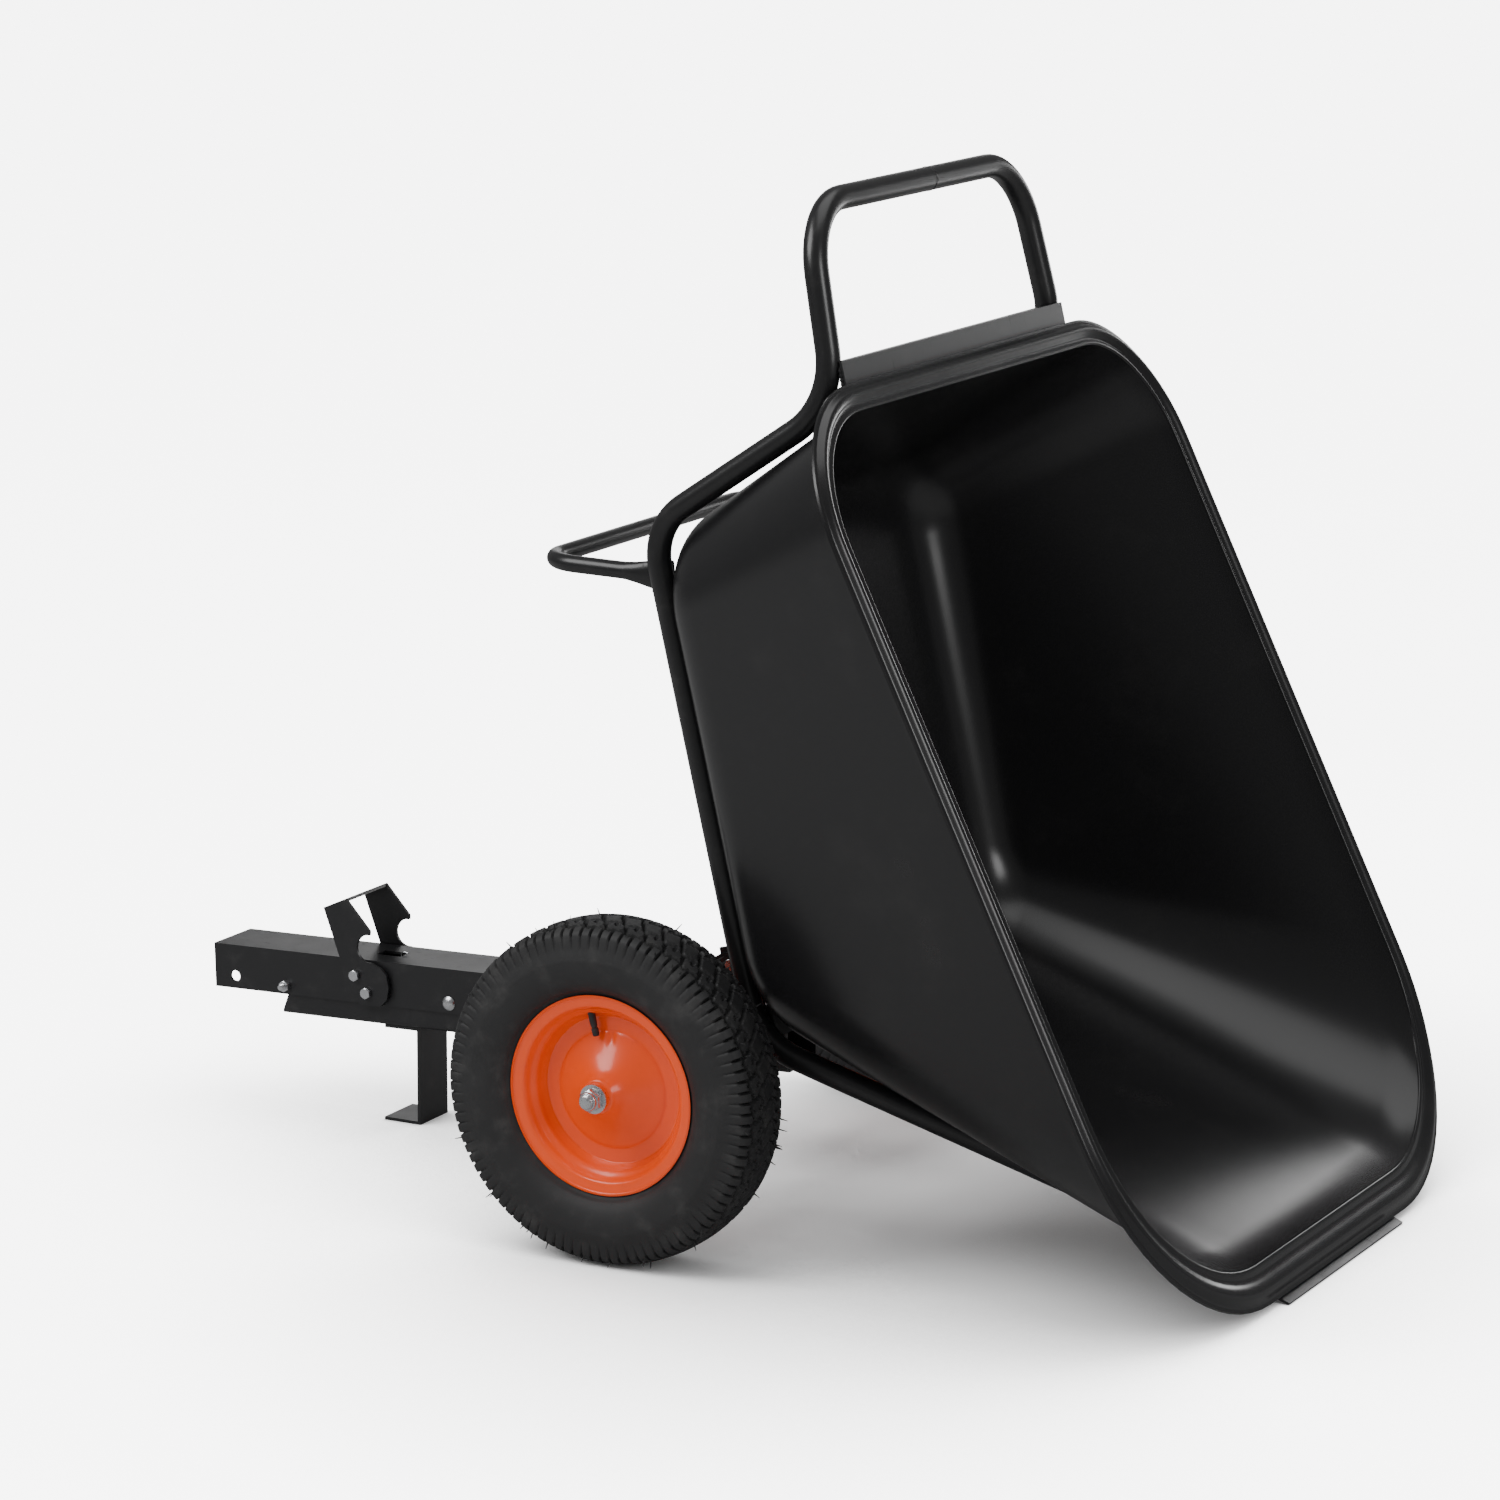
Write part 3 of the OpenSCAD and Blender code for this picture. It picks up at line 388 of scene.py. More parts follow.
def finish_of(name, base, film, grain, film_values, scuff=None, metallic=0.0, coat=0.0,
              specular=0.5, bright=1.25):
    """A Principled material: film over base for colour, grain for roughness and normal, and
    scuffs that lift the roughness where there are any. The numbers of grain and film_values
    are in the order of GRAIN_KEYS and FILM_KEYS."""
    m = bpy.data.materials.new(name)
    m.use_nodes = True
    t = m.node_tree
    shader = t.nodes["Principled BSDF"]
    link = t.links.new
    g = add(t, "ShaderNodeGroup", (-700, -200), node_tree=GRAIN)
    f = add(t, "ShaderNodeGroup", (-400, 200), node_tree=FILM)
    f.inputs["Film"].default_value = (*film, 1)
    for target, keys, values in ((g, GRAIN_KEYS, grain), (f, FILM_KEYS, film_values)):
        for key, value in zip(keys, values):
            target.inputs[key].default_value = value
    tone = add(t, "ShaderNodeMix", (-650, 250), data_type="RGBA")
    tone.inputs["A"].default_value = (*base, 1)
    tone.inputs["B"].default_value = (*[min(1, c * bright) for c in base], 1)
    link(g.outputs["Cloud"], tone.inputs["Factor"])
    link(tone.outputs["Result"], f.inputs["Base"])
    link(f.outputs["Color"], shader.inputs["Base Color"])
    rough = g.outputs["Roughness"]
    if not metallic:
        plus = add(t, "ShaderNodeMath", (-150, -100), operation="MULTIPLY_ADD")
        plus.inputs[1].default_value = 0.5
        link(f.outputs["Mask"], plus.inputs[0])
        link(rough, plus.inputs[2])
        rough = plus.outputs[0]
    if scuff:
        s = add(t, "ShaderNodeGroup", (-700, -500), node_tree=SCUFF)
        for key, value in scuff.items():
            s.inputs[key].default_value = value
        plus = add(t, "ShaderNodeMath", (-50, -250), operation="ADD")
        link(rough, plus.inputs[0])
        link(s.outputs["Mask"], plus.inputs[1])
        rough = plus.outputs[0]
    link(rough, shader.inputs["Roughness"])
    link(g.outputs["Normal"], shader.inputs["Normal"])
    shader.inputs["Metallic"].default_value = metallic
    shader.inputs["Coat Weight"].default_value = coat
    shader.inputs["Coat Roughness"].default_value = 0.12
    shader.inputs["Specular IOR Level"].default_value = specular
    return m


# %% [markdown]
# ## The finishes themselves
# Powder coat is black with a faint orange peel. The tub's poly is smoother and a touch softer in
# gloss. The rims are sprayed orange under a clear coat. Tyre rubber is matt and greys slightly
# where it was handled. Bolts and nuts are bright zinc, and the small trim is rubber or nylon.

# %% Finishes of the cart
DUST = (0.16, 0.15, 0.14)
powder = finish_of("powder_coat", (0.0085, 0.0085, 0.009), DUST,
                   (0.3, 0.12, 9, 620, 0.16), (0.05, 26, 0.52, 0.25),
                   {"Stretch": (420, 9, 70), "Amount": 0.18})
plate_coat = finish_of("plate_coat", (0.0095, 0.0095, 0.0105), DUST,
                       (0.38, 0.14, 14, 800, 0.2), (0.08, 34, 0.5, 0.3),
                       {"Stretch": (60, 300, 12), "Turn": (0.2, 0.5, 0.3), "Amount": 0.22})
poly = finish_of("moulded_poly", (0.0065, 0.0065, 0.007), DUST,
                 (0.25, 0.1, 4, 260, 0.02), (0.035, 9, 0.5, 0.3))
orange = finish_of("orange_paint", (0.76, 0.062, 0.0), (0.4, 0.025, 0.0),
                   (0.33, 0.08, 16, 700, 0.07), (0.18, 60, 0.56, 0.25),
                   coat=0.35, specular=0.4, bright=1.07)
rubber = finish_of("tyre_rubber", (0.0135, 0.0135, 0.014), (0.085, 0.082, 0.078),
                   (0.6, 0.2, 22, 1400, 0.35), (0.3, 30, 0.47, 0.35),
                   {"Stretch": (90, 30, 90), "Amount": 0.1}, specular=0.4, bright=1.5)
zinc = finish_of("bright_zinc", (0.66, 0.67, 0.69), (0.42, 0.4, 0.33),
                 (0.27, 0.18, 110, 2200, 0.25), (0.45, 240, 0.5, 0.25),
                 metallic=1.0, bright=1.15)
black_zinc = finish_of("black_zinc", (0.06, 0.06, 0.062), (0.3, 0.3, 0.3),
                       (0.35, 0.15, 90, 1800, 0.2), (0.3, 220, 0.55, 0.2),
                       metallic=0.9)
soft_rubber = finish_of("valve_rubber", (0.016, 0.016, 0.016), DUST,
                        (0.42, 0.15, 90, 1500, 0.2), (0.15, 120, 0.5, 0.3))
nylon = finish_of("bush_nylon", (0.55, 0.53, 0.47), (0.2, 0.18, 0.15),
                  (0.45, 0.1, 60, 900, 0.2), (0.4, 90, 0.5, 0.3))
bronze = finish_of("bush_bronze", (0.42, 0.26, 0.11), (0.1, 0.06, 0.03),
                   (0.4, 0.15, 120, 1600, 0.3), (0.4, 200, 0.5, 0.25),
                   metallic=0.9)

BY_SLOT = {"frame_black": powder, "latch_black": plate_coat, "tub_poly": poly,
           "rim_orange": orange, "tyre": rubber, "valve_rubber": soft_rubber,
           "bush_nylon": nylon, "bush_bronze": bronze, "spacer_black": powder,
           "black_zinc": black_zinc, "zinc": zinc}
for part in frame["record"]["subparts"]:
    mesh = nodes[part["node"]].data
    mesh.materials.clear()
    mesh.materials.append(BY_SLOT[part["material_slot"]])
for name in ("drawbar_front", "drawbar_rear", "stand", "front_strip", "rear_strip"):
    nodes[name].data.materials[0] = plate_coat

# %% [markdown]
# ## The tub
# The tub is one rotation moulded skin. Its floor is a rounded rectangle, its rim a larger one
# that slopes up to the rear, with bigger corners there. Every wall point runs straight from the
# floor's outline to the rim's, after a soft bend at the floor. The rolled lip is a short profile
# carried round the rim. So the whole skin is one stack of rings: outside, over the lip, inside.

# %% Rings of the tub
LIP_W, LIP_REAR, RIM_LEN, RIM_HALF = 33.0, 48.0, 1117.0, 465.0
FRONT_R, REAR_R, FLOOR_R, BEND, WALL = 172.0, 262.0, 95.0, 58.0, 4.5
slope = math.radians(12.55)
along = np.array([math.cos(slope), 0, math.sin(slope)])
upward = np.array([-math.sin(slope), 0, math.cos(slope)])
lip_at = np.array([handle_low[0] - 20.1, 0, RAIL_UP + 291.2])
floor_z = RAIL_UP + TUBE_R
floor_fore, floor_back, floor_half = rail_fore[0] + 15.4, rail_back[0] - 18, 322.5


def outline(x0, x1, w, fore_r, back_r, arc=18, side=14):
    """A rectangle from x0 to x1 and half width w, with round corners, as an even loop: each
    corner an arc, each side a run of points. Returned as (x, y)."""
    loop = []
    for cx, cy, r, a0 in ((x1 - back_r, back_r - w, back_r, -90),
                          (x1 - back_r, w - back_r, back_r, 0),
                          (x0 + fore_r, w - fore_r, fore_r, 90),
                          (x0 + fore_r, fore_r - w, fore_r, 180)):
        a = np.radians(np.linspace(a0, a0 + 90, arc))
        loop.append(np.stack([cx + r * np.cos(a), cy + r * np.sin(a)], -1))
    out = []
    for k in range(4):
        start, end = loop[k][-1], loop[(k + 1) % 4][0]
        t = (np.arange(1, side) / side)[:, None]
        out += [loop[k], start + (end - start) * t]
    return np.concatenate(out)


def rim_ring(inset, height):
    """The rim's loop moved in by inset and up by height, square to the sloping rim plane."""
    s = inset * LIP_W / 33
    q = outline(s, RIM_LEN - s * LIP_REAR / LIP_W, RIM_HALF - s, FRONT_R - s, REAR_R - s)
    sideways = np.stack([0 * q[:, 1], q[:, 1], 0 * q[:, 1]], -1)
    return lip_at + q[:, :1] * along + sideways + height * upward


def floor_ring(inset, z):
    q = outline(floor_fore + inset, floor_back - inset, floor_half - inset,
                FLOOR_R - inset, FLOOR_R - inset)
    return np.concatenate([q, np.full((len(q), 1), z)], 1)


def wall_rings(inset, z, rim):
    """Floor to rim: a quadratic bend from the floor, then a straight run. Where t goes 0 to 1
    the bend is q(1-t)^2 + 2ft(1-t) + wt^2, with q in the floor, f its edge, w on the wall."""
    f, q = floor_ring(inset, z), floor_ring(inset + BEND, z)
    w = f + (rim - f) / np.linalg.norm(rim - f, axis=1, keepdims=True) * BEND
    t = (np.arange(14) / 14)[:, None, None]
    curve = q * (1 - t) ** 2 + f * 2 * t * (1 - t) + w * t ** 2
    k = (np.arange(12) / 12)[:, None, None]
    return np.concatenate([curve, w + (rim - w) * k])


under = smooth_line([[33 - WALL, -3.6], [25, -2.2], [20, -0.4], [15, 2.6], [10, 2.4], [6, -1],
                     [3, -3], [0, -3]], 3)
over = smooth_line([[0, 0], [4, 0.4], [6.5, 2.6], [10, 6], [14, 7], [18, 5.6], [22, 2.6],
                    [25, 1.8], [28, 2.6], [30.5, 3], [32.4, 2], [33, -0.5]], 3)


def floor_disc(inset, z):
    """Loops that shrink from the floor's edge to its middle, so the flat is a fine grid too."""
    edge = floor_ring(inset + BEND, z)
    middle = np.array([(floor_fore + floor_back) / 2, 0, z])
    t = np.linspace(0.02, 1, 9)[:-1][:, None, None]
    return middle + (edge - middle) * t


outside = wall_rings(0, floor_z, rim_ring(*under[0]))
inside = wall_rings(0.8 * WALL, floor_z + WALL, rim_ring(*over[-1]))
skin = np.concatenate([floor_disc(0, floor_z), outside, [rim_ring(*p) for p in under],
                       [rim_ring(*p) for p in over], inside[::-1],
                       floor_disc(0.8 * WALL, floor_z + WALL)[::-1]])
tub = piece("tub_skin", tipped(skin), capped(*skin.shape[:2]), "tub_body", poly,
            ["tub"], 50)
print("tub faces:", len(tub.data.polygons))

# %% [markdown]
# ## The tube frame
# Two bent tubes make the frame: each climbs from the rear strip, runs under the tub, rises past
# its front and turns in to meet the other in the handle. The bends have the radii of a hand
# bender's dies. A tube is a circle carried along the path, with a second one inside for its wall.

# %% Frame tubes and the handle's seam
BENDS = [90, 70, 89, 87]
for side, name, end_y in ((-1, "frame_left", SEAM_Y - 0.2), (1, "frame_right", SEAM_Y + 0.2)):
    flip = np.array([1, side, 1])
    corners = [p * flip for p in (rear_end, rail_back, rail_fore, handle_low, handle_top)]
    corners.append(np.array([handle_top[0], end_y, handle_top[2]]))
    points, faces = open_tube(bent(corners, BENDS), TUBE_R, TUBE_WALL, 36)
    piece(name + "_tube", tipped(points), faces, "tub_body", powder, [name], 60)

seam_at = np.array([handle_top[0], SEAM_Y, handle_top[2]])
ring_y = np.linspace(-5, 5, 21)
ring_r = TUBE_R - 0.7 + 1.5 * np.exp(-(ring_y / 1.8) ** 2) - 0.9 * np.exp(-(ring_y / 0.5) ** 2)
seam_path = seam_at + np.stack([0 * ring_y, ring_y, 0 * ring_y], -1)
ring = swept(seam_path, ring_r, around=36)
inner = swept(seam_path, TUBE_R - 3, around=36)[::-1]
rings = np.concatenate([ring, inner])
piece("handle_seam", tipped(rings), quads(len(rings), 36, True, True), "tub_body",
      powder)

# %% [markdown]
# ## The latch loop
# A thinner tube crosses the drawbar and drops into the latch when the tub is down. Its ends are
# pressed flat and welded to the rails, so the section changes along the path from a circle into
# a wide, thin oval. The width grows by the same smooth step as the thickness shrinks.

# %% Latch loop with pressed ends
LOOP_R, LEG, KNEE, PRESSED = 10.0, 178, 112, 74
LEAN_X, LEAN_Z = 41.5, 159.8
rail_in = RAIL_Y - TUBE_R
loop_y = rail_in - LOOP_R - 0.5
bar = np.array([rail_fore[0] + 17.4, 0, -41.2])
lean = np.array([LEAN_X, 0, LEAN_Z]) / math.hypot(LEAN_X, LEAN_Z)
foot = bar + lean * LEG
out_y = np.array([0, 1.0, 0])
loop_path = bent([foot - out_y * (rail_in - 3.4), bar + lean * KNEE - out_y * loop_y,
                  bar - out_y * loop_y, bar + out_y * loop_y,
                  bar + lean * KNEE + out_y * loop_y, foot + out_y * (rail_in - 3.4)],
                 [60, 46, 46, 60], 3.0)
run = np.concatenate([[0], np.cumsum(np.linalg.norm(np.diff(loop_path, axis=0), axis=1))])
press = np.clip(1 - np.minimum(run, run[-1] - run) / PRESSED, 0, 1)
press = press ** 2 * (3 - 2 * press)
side_v, other_v = path_frames(loop_path)
a = np.linspace(0, 2 * math.pi, 32, endpoint=False)[None, :, None]
flat_way = np.abs(side_v @ out_y)[:, None, None] > 0.5
thin = (LOOP_R - 6.8 * press)[:, None, None]
wide = (LOOP_R + 9.5 * press)[:, None, None]
loop_rings = (loop_path[:, None] + np.where(flat_way, thin, wide) * np.cos(a) * side_v[:, None]
              + np.where(flat_way, wide, thin) * np.sin(a) * other_v[:, None])
piece("latch_loop_tube", tipped(loop_rings), capped(len(loop_rings), 32), "tub_body",
      powder, ["latch_loop"], 50)

# %% [markdown]
# ## Weld beads
# A weld is a row of small overlapping puddles. A tube whose radius swells and shrinks along its
# path reads as one once it is painted over. Each bead follows the line where two parts meet.

# %% Beads where strips, loop and hinge plates meet the tubes
def bead(path, size=2.2, ripple=5.0):
    """A rippled round bead along a path; radius = size * (1 + 0.22 cos) every ripple mm."""
    line = even_line(np.asarray(path, float), max(6, round(len_of(path) / 1.2)))
    far = np.linspace(0, len_of(path), len(line))
    ends = np.clip(np.minimum(far, far[-1] - far) / 3, 0.15, 1)
    r = size * (1 + 0.22 * np.cos(2 * math.pi * far / ripple)) * ends
    rings = swept(line, r, around=8)
    return rings, capped(len(rings), 8)


def len_of(path):
    return float(np.linalg.norm(np.diff(np.asarray(path, float), axis=0), axis=1).sum())


STRIP_FORE, STRIP_BACK, STRIP_Y = -684, -650, RAIL_Y + 1
beads = []
strip_z = handle_low[2] + TUBE_R + 0.9
for s in (-1, 1):
    edge = np.array([[STRIP_FORE, STRIP_Y * s, strip_z - 1.2],
                     [STRIP_BACK, STRIP_Y * s, strip_z - 1.2]])
    beads.append(bead(edge + [0, 9 * s, 0], 2.0))
    beads.append(bead(edge - [0, 14 * s, 0], 2.0))
    for d in (-18, 18):
        end = foot + np.array([d * lean[2], 0, -d * lean[0]])
        beads.append(bead([end + out_y * s * (rail_in - 1) - lean * 26,
                           end + out_y * s * (rail_in - 1) + lean * 2], 2.4))
    plate_z = RAIL_UP + 8
    plate_y = s * (rail_in - 0.5)
    beads.append(bead([[-48, plate_y, plate_z], [44, plate_y, plate_z]], 2.4))
points, faces = stack(beads)
piece("frame_welds", tipped(points), faces, "tub_body", powder)

# %% [markdown]
# ## Wheels
# Each rim is two pressed steel halves. The outer face is a bell around the hub, a flat ring, a
# step and the bead seat. Its profile is a smooth curve turned about the axle, thickened inward.
# The outer half has one shallow pressed dimple above the hub, which clears the valve.

# %% Rims
RIM_R, HUB_R, SHEET = 115.0, 16.5, 2.0
face_line = smooth_line([[HUB_R, 40], [HUB_R + 3, 38.8], [HUB_R + 6, 34.5], [30, 25.5],
                         [42, 16.5], [54, 10], [66, 5], [71, 2.9], [RIM_R - 31, 2.4],
                         [RIM_R - 28, 4.5],
                         [RIM_R - 24.5, 10], [RIM_R - 22, 16], [RIM_R - 17, 21.5],
                         [RIM_R - 14, 27], [RIM_R - 11, 30], [RIM_R - 3, 31.4],
                         [RIM_R - 0.6, 32.4], [RIM_R, 34]], 5)


def sheet_profile(line, thick):
    """The line and its copy moved inward by thick along the normal, as one closed profile."""
    d = np.gradient(line, axis=0)
    d /= np.linalg.norm(d, axis=1, keepdims=True)
    back = line + np.stack([d[:, 1], -d[:, 0]], -1) * thick
    back[:, 0] = np.where(line[:, 0] < HUB_R + 1.5, np.maximum(back[:, 0], HUB_R), back[:, 0])
    back[:, 1] = np.maximum(back[:, 1], 0)
    return np.concatenate([line, back[::-1]])


def wheel_place(points, side):
    """Wheel points, measured from its middle, moved to the wheel on that side."""
    return points + np.array([axle_x, side * half_track, wheel_r])


VALVE_LEAN = math.radians(14)
AROUND = 144
DIMPLE_AT, DIMPLE_DEEP = 61, 3.0
for side, tag in ((-1, "left"), (1, "right")):
    for half, label in ((1, "outer"), (-1, "inner")):
        rings = turned(sheet_profile(face_line, SHEET), AROUND, side * half)
        r = np.hypot(rings[..., 0], rings[..., 2])
        angle = np.arctan2(rings[..., 0], rings[..., 2])
        dimple = np.exp(-(angle * r / 4.5) ** 2) * np.exp(-((r - DIMPLE_AT) / 9) ** 2)
        rings[..., 1] -= side * half * DIMPLE_DEEP * dimple * (half > 0)
        node = f"rim_{label}_{tag}"
        piece(node + "_pressing", wheel_place(rings, side),
              quads(len(rings), AROUND, True, True), tag + "_wheel", orange,
              [node], 60)

# %% [markdown]
# ## Tyres
# The tyre is a carcass profile turned about the axle, cut by a tread. The tread is a height over
# two numbers: where a point lies across the tyre, and how far round. Zigzag grooves run round
# it, slanted ones cross each row, and their ends run down the shoulder as thin sipes. The
# sidewall keeps two raised moulding rings and a fine line, each given by its height, its radius
# and its width. Depth is taken off along the surface normal.

# %% Carcass, tread and vent hairs
TH, PITCHES, COLUMNS = tyre_half, 48, 12
ROW_IN, ROW_OUT = 0.27, 0.64
GROOVE_DEEP, SIPE_DEEP, SIPE_FROM, HAIR_FROM = 5.4, 1.6, 166, 180
SIDE_RINGS = ((1.1, 160, 2.0), (0.9, 124, 2.0), (0.35, 165, 0.9))
carcass = [[RIM_R - 9.8, 27.4], [RIM_R - 3, 28.8], [RIM_R + 2.5, 31.2], [RIM_R + 6, 34.5],
           [RIM_R + 13, 0.85 * TH], [RIM_R + 24, 0.95 * TH], [RIM_R + 38, TH],
           [RIM_R + 48, 0.99 * TH], [RIM_R + 58, 0.95 * TH], [wheel_r - 13, 0.9 * TH],
           [wheel_r - 9, 0.86 * TH], [wheel_r - 5, 0.74 * TH], [wheel_r - 1.6, 0.5 * TH],
           [wheel_r, 0.2 * TH], [wheel_r, 0]]
cavity = np.array([[RIM_R - 12.5, 22], [RIM_R - 5, 23], [RIM_R + 3, 26.5],
                   [RIM_R + 14, 0.68 * TH], [RIM_R + 38, 0.85 * TH],
                   [wheel_r - 22, 0.68 * TH], [wheel_r - 14, 0.4 * TH], [wheel_r - 11, 0]])


def zigzag(x):
    """A triangle wave from -1 to 1 with period 1."""
    return 4 * np.abs((x % 1) - 0.5) - 1


def near(x, line, half_width):
    """1 on the line, 0 beyond half_width, with softened walls."""
    t = np.clip((half_width - np.abs(x - line)) / (0.35 * half_width), 0, 1)
    return t * t * (3 - 2 * t)


def tread_depth(r, w, angle):
    """Depth of cut in mm at radius r, share across w and angle. Rows are split at ROW_IN
    and ROW_OUT; each row's cross grooves sit half a pitch from its neighbour's."""
    p = angle * PITCHES / (2 * math.pi)
    aw = np.abs(w)
    tread = np.clip((r - (wheel_r - 15)) / 5, 0, 1)
    rings = np.maximum(near(aw, ROW_IN + 0.055 * zigzag(p), 0.042),
                       near(aw, ROW_OUT + 0.045 * zigzag(p + 0.5), 0.036))
    centre_cut = near((p + 1.1 * w) % 1, 0.5, 0.1) * (aw < ROW_IN)
    middle_cut = near((p + 0.8 * aw) % 1, 0.25, 0.1) * (aw >= ROW_IN) * (aw < ROW_OUT)
    middle_nick = near((p + 0.8 * aw) % 1, 0.75, 0.07) * (np.abs(aw - 0.36) < 0.08)
    shoulder = near((2 * p) % 1, 0.5, 0.17) * (aw >= ROW_OUT)
    cut = GROOVE_DEEP * tread * np.maximum.reduce(
        [rings, centre_cut, middle_cut, middle_nick, shoulder])
    down = np.clip((r - SIPE_FROM) / 16, 0, 1) * (r < wheel_r - 9)
    sipe = SIPE_DEEP * down * near((2 * p) % 1, 0.5, 0.15)
    return np.maximum(cut, sipe)


half_line = even_line(smooth_line(carcass, 6), 66)
outer_line = np.concatenate([half_line, (half_line * [1, -1])[-2::-1]])
inner_half = smooth_line(cavity, 2)
inner_line = np.concatenate([inner_half, (inner_half * [1, -1])[-2::-1]])[::-1]
d = np.gradient(outer_line, axis=0)
d /= np.linalg.norm(d, axis=1, keepdims=True)
normal = np.stack([-d[:, 1], d[:, 0]], -1)
normal *= np.sign((normal * (outer_line - [RIM_R + 30, 0])).sum(1))[:, None]
count = PITCHES * COLUMNS
angles = np.linspace(0, 2 * math.pi, count, endpoint=False)
cut = tread_depth(outer_line[:, :1], outer_line[:, 1:] / TH, angles[None])
ridge = sum(high * np.exp(-((outer_line[:, :1] - at) / wide) ** 2)
            for high, at, wide in SIDE_RINGS)
radius = outer_line[:, :1] + normal[:, :1] * (ridge - cut)
width = outer_line[:, 1:] + normal[:, 1:] * (0.4 * ridge - cut)
outer = np.stack([radius * np.cos(angles), width + 0 * angles, radius * np.sin(angles)], -1)
cave = turned(inner_line, count)
carcass_rings = np.concatenate([outer, cave])
tyre_faces = quads(len(carcass_rings), count, True, True)

chance = np.random.default_rng(16)


def hairs(number):
    """Thin tapered vent hairs that stand off the shoulder, each a short four-sided spike."""
    out = []
    for turn_at, across, long in zip(chance.uniform(0, 2 * math.pi, number),
                                     chance.choice([-0.8, -0.55, 0.6, 0.84], number),
                                     chance.uniform(5.0, 9.0, number)):
        k = np.argmin(np.abs(outer_line[:, 1] / TH - across) + (outer_line[:, 0] < HAIR_FROM) * 9)
        r0, u0 = outer_line[k]
        n2 = normal[k]
        outward = np.array([math.cos(turn_at), 0, math.sin(turn_at)])
        sway = np.array([-math.sin(turn_at), 0.3, math.cos(turn_at)]) * chance.uniform(-0.35, 0.35)
        base = outward * (r0 - 1.0) + [0, u0, 0]
        away_from = outward * n2[0] + [0, n2[1], 0] + sway
        line = base + away_from * (np.linspace(0, 1, 4)[:, None] * (long + 1.0))
        rings = swept(line, np.array([0.95, 0.8, 0.6, 0.35]), around=5)
        out.append((rings, capped(4, 5)))
    return stack(out)


for side, tag in ((-1, "left"), (1, "right")):
    piece(f"tyre_{tag}_tread", wheel_place(carcass_rings * [1, side, 1], side), tyre_faces,
          tag + "_wheel", rubber, ["tyre_" + tag], 42)
    points, faces = hairs(60)
    piece(f"tyre_{tag}_hairs", wheel_place(points * [1, side, 1], side), faces,
          tag + "_wheel", rubber)
print("tyre faces:", len(tyre_faces))

# %% [markdown]
# ## Valves
# A snap-in valve is a rubber button in the rim's well with a slim stem and a screw cap. It leans
# a little from the top of the wheel. Both are turned profiles, closed at their tips, and the cap
# has fine ribs for the fingers.

# %% Valves and caps
def spun(profile, around, ribs=0.0, rib_count=16):
    """A (radius, height) profile turned about Z; ribs add a cosine to the radius."""
    a = np.linspace(0, 2 * math.pi, around, endpoint=False)
    r = profile[:, 0][:, None] * (1 + ribs * np.cos(rib_count * a))
    rings = np.stack([r * np.cos(a), r * np.sin(a), profile[:, 1][:, None] + 0 * a], -1)
    return rings, capped(len(rings), around)


VALVE_R, VALVE_U = RIM_R - 22, 13.0


def at_valve(points, side):
    """Points about a standing stem, leant towards the drawbar and moved to the wheel."""
    c, s = math.cos(VALVE_LEAN), math.sin(VALVE_LEAN)
    p = np.asarray(points)
    turned_over = np.stack([p[..., 0] * c - p[..., 2] * s, p[..., 1] + side * VALVE_U,
                            p[..., 0] * s + p[..., 2] * c], -1)
    return wheel_place(turned_over, side)


stem = smooth_line([[0.4, VALVE_R - 18], [3.0, VALVE_R - 18], [4.1, VALVE_R - 12],
                    [4.2, VALVE_R + 3], [4.6, VALVE_R + 4.6], [6.5, VALVE_R + 5.2],
                    [6.5, VALVE_R + 7.6], [0.4, VALVE_R + 8]], 3)
cap = smooth_line([[0.3, VALVE_R - 28], [2.6, VALVE_R - 27.8], [3.7, VALVE_R - 26.4],
                   [3.85, VALVE_R - 24], [3.85, VALVE_R - 18.6], [0.4, VALVE_R - 18.2]], 3)
for side, tag in ((-1, "left"), (1, "right")):
    for label, line, ribs in (("valve", stem, 0.0), ("valve_cap", cap, 0.04)):
        points, faces = spun(line, 48, ribs)
        piece(f"{label}_{tag}_turned", at_valve(points, side), faces, tag + "_wheel",
              soft_rubber, [f"{label}_{tag}"])

# %% [markdown]
# ## Bolts and nuts
# A hex nut or head is a hexagon whose corners are turned off by a cone. As a formula, its radius
# at an angle is the smaller of the hexagon's and the cone's. Threads are a helical ripple on a
# turned rod. One table lists every fastener by its node, so the same few functions make them all.

# %% Fastener shapes
def hexagon(flats, y0, y1, bore=0.0, both_ends=True):
    """A chamfered hexagon along Y: r(a, y) = min(flats / 2 / cos(a mod 60), cone(y))."""
    a = np.linspace(0, 2 * math.pi, 96, endpoint=False)
    across = flats / 2 / np.cos((a + math.pi / 6) % (math.pi / 3) - math.pi / 6)
    depth, tall = 0.07 * flats, abs(y1 - y0)
    h = np.array([0, 0, 0.35 * depth, depth, tall / 2, tall - depth, tall - 0.35 * depth,
                  tall, tall])
    edge = np.minimum(h, tall - h) if both_ends else tall - h
    cone = 0.475 * flats + edge * 1.5
    r = np.minimum(across, cone[:, None])
    r[0], r[-1] = max(bore, 0.3), max(bore, 0.3)
    y = y0 + np.sign(y1 - y0) * h[:, None]
    rings = np.stack([r * np.cos(a), y + 0 * a, r * np.sin(a)], -1)
    n = len(rings)
    if bore:
        return rings, [list(f) for f in quads(n, 96, True, True)]
    return rings, capped(n, 96)


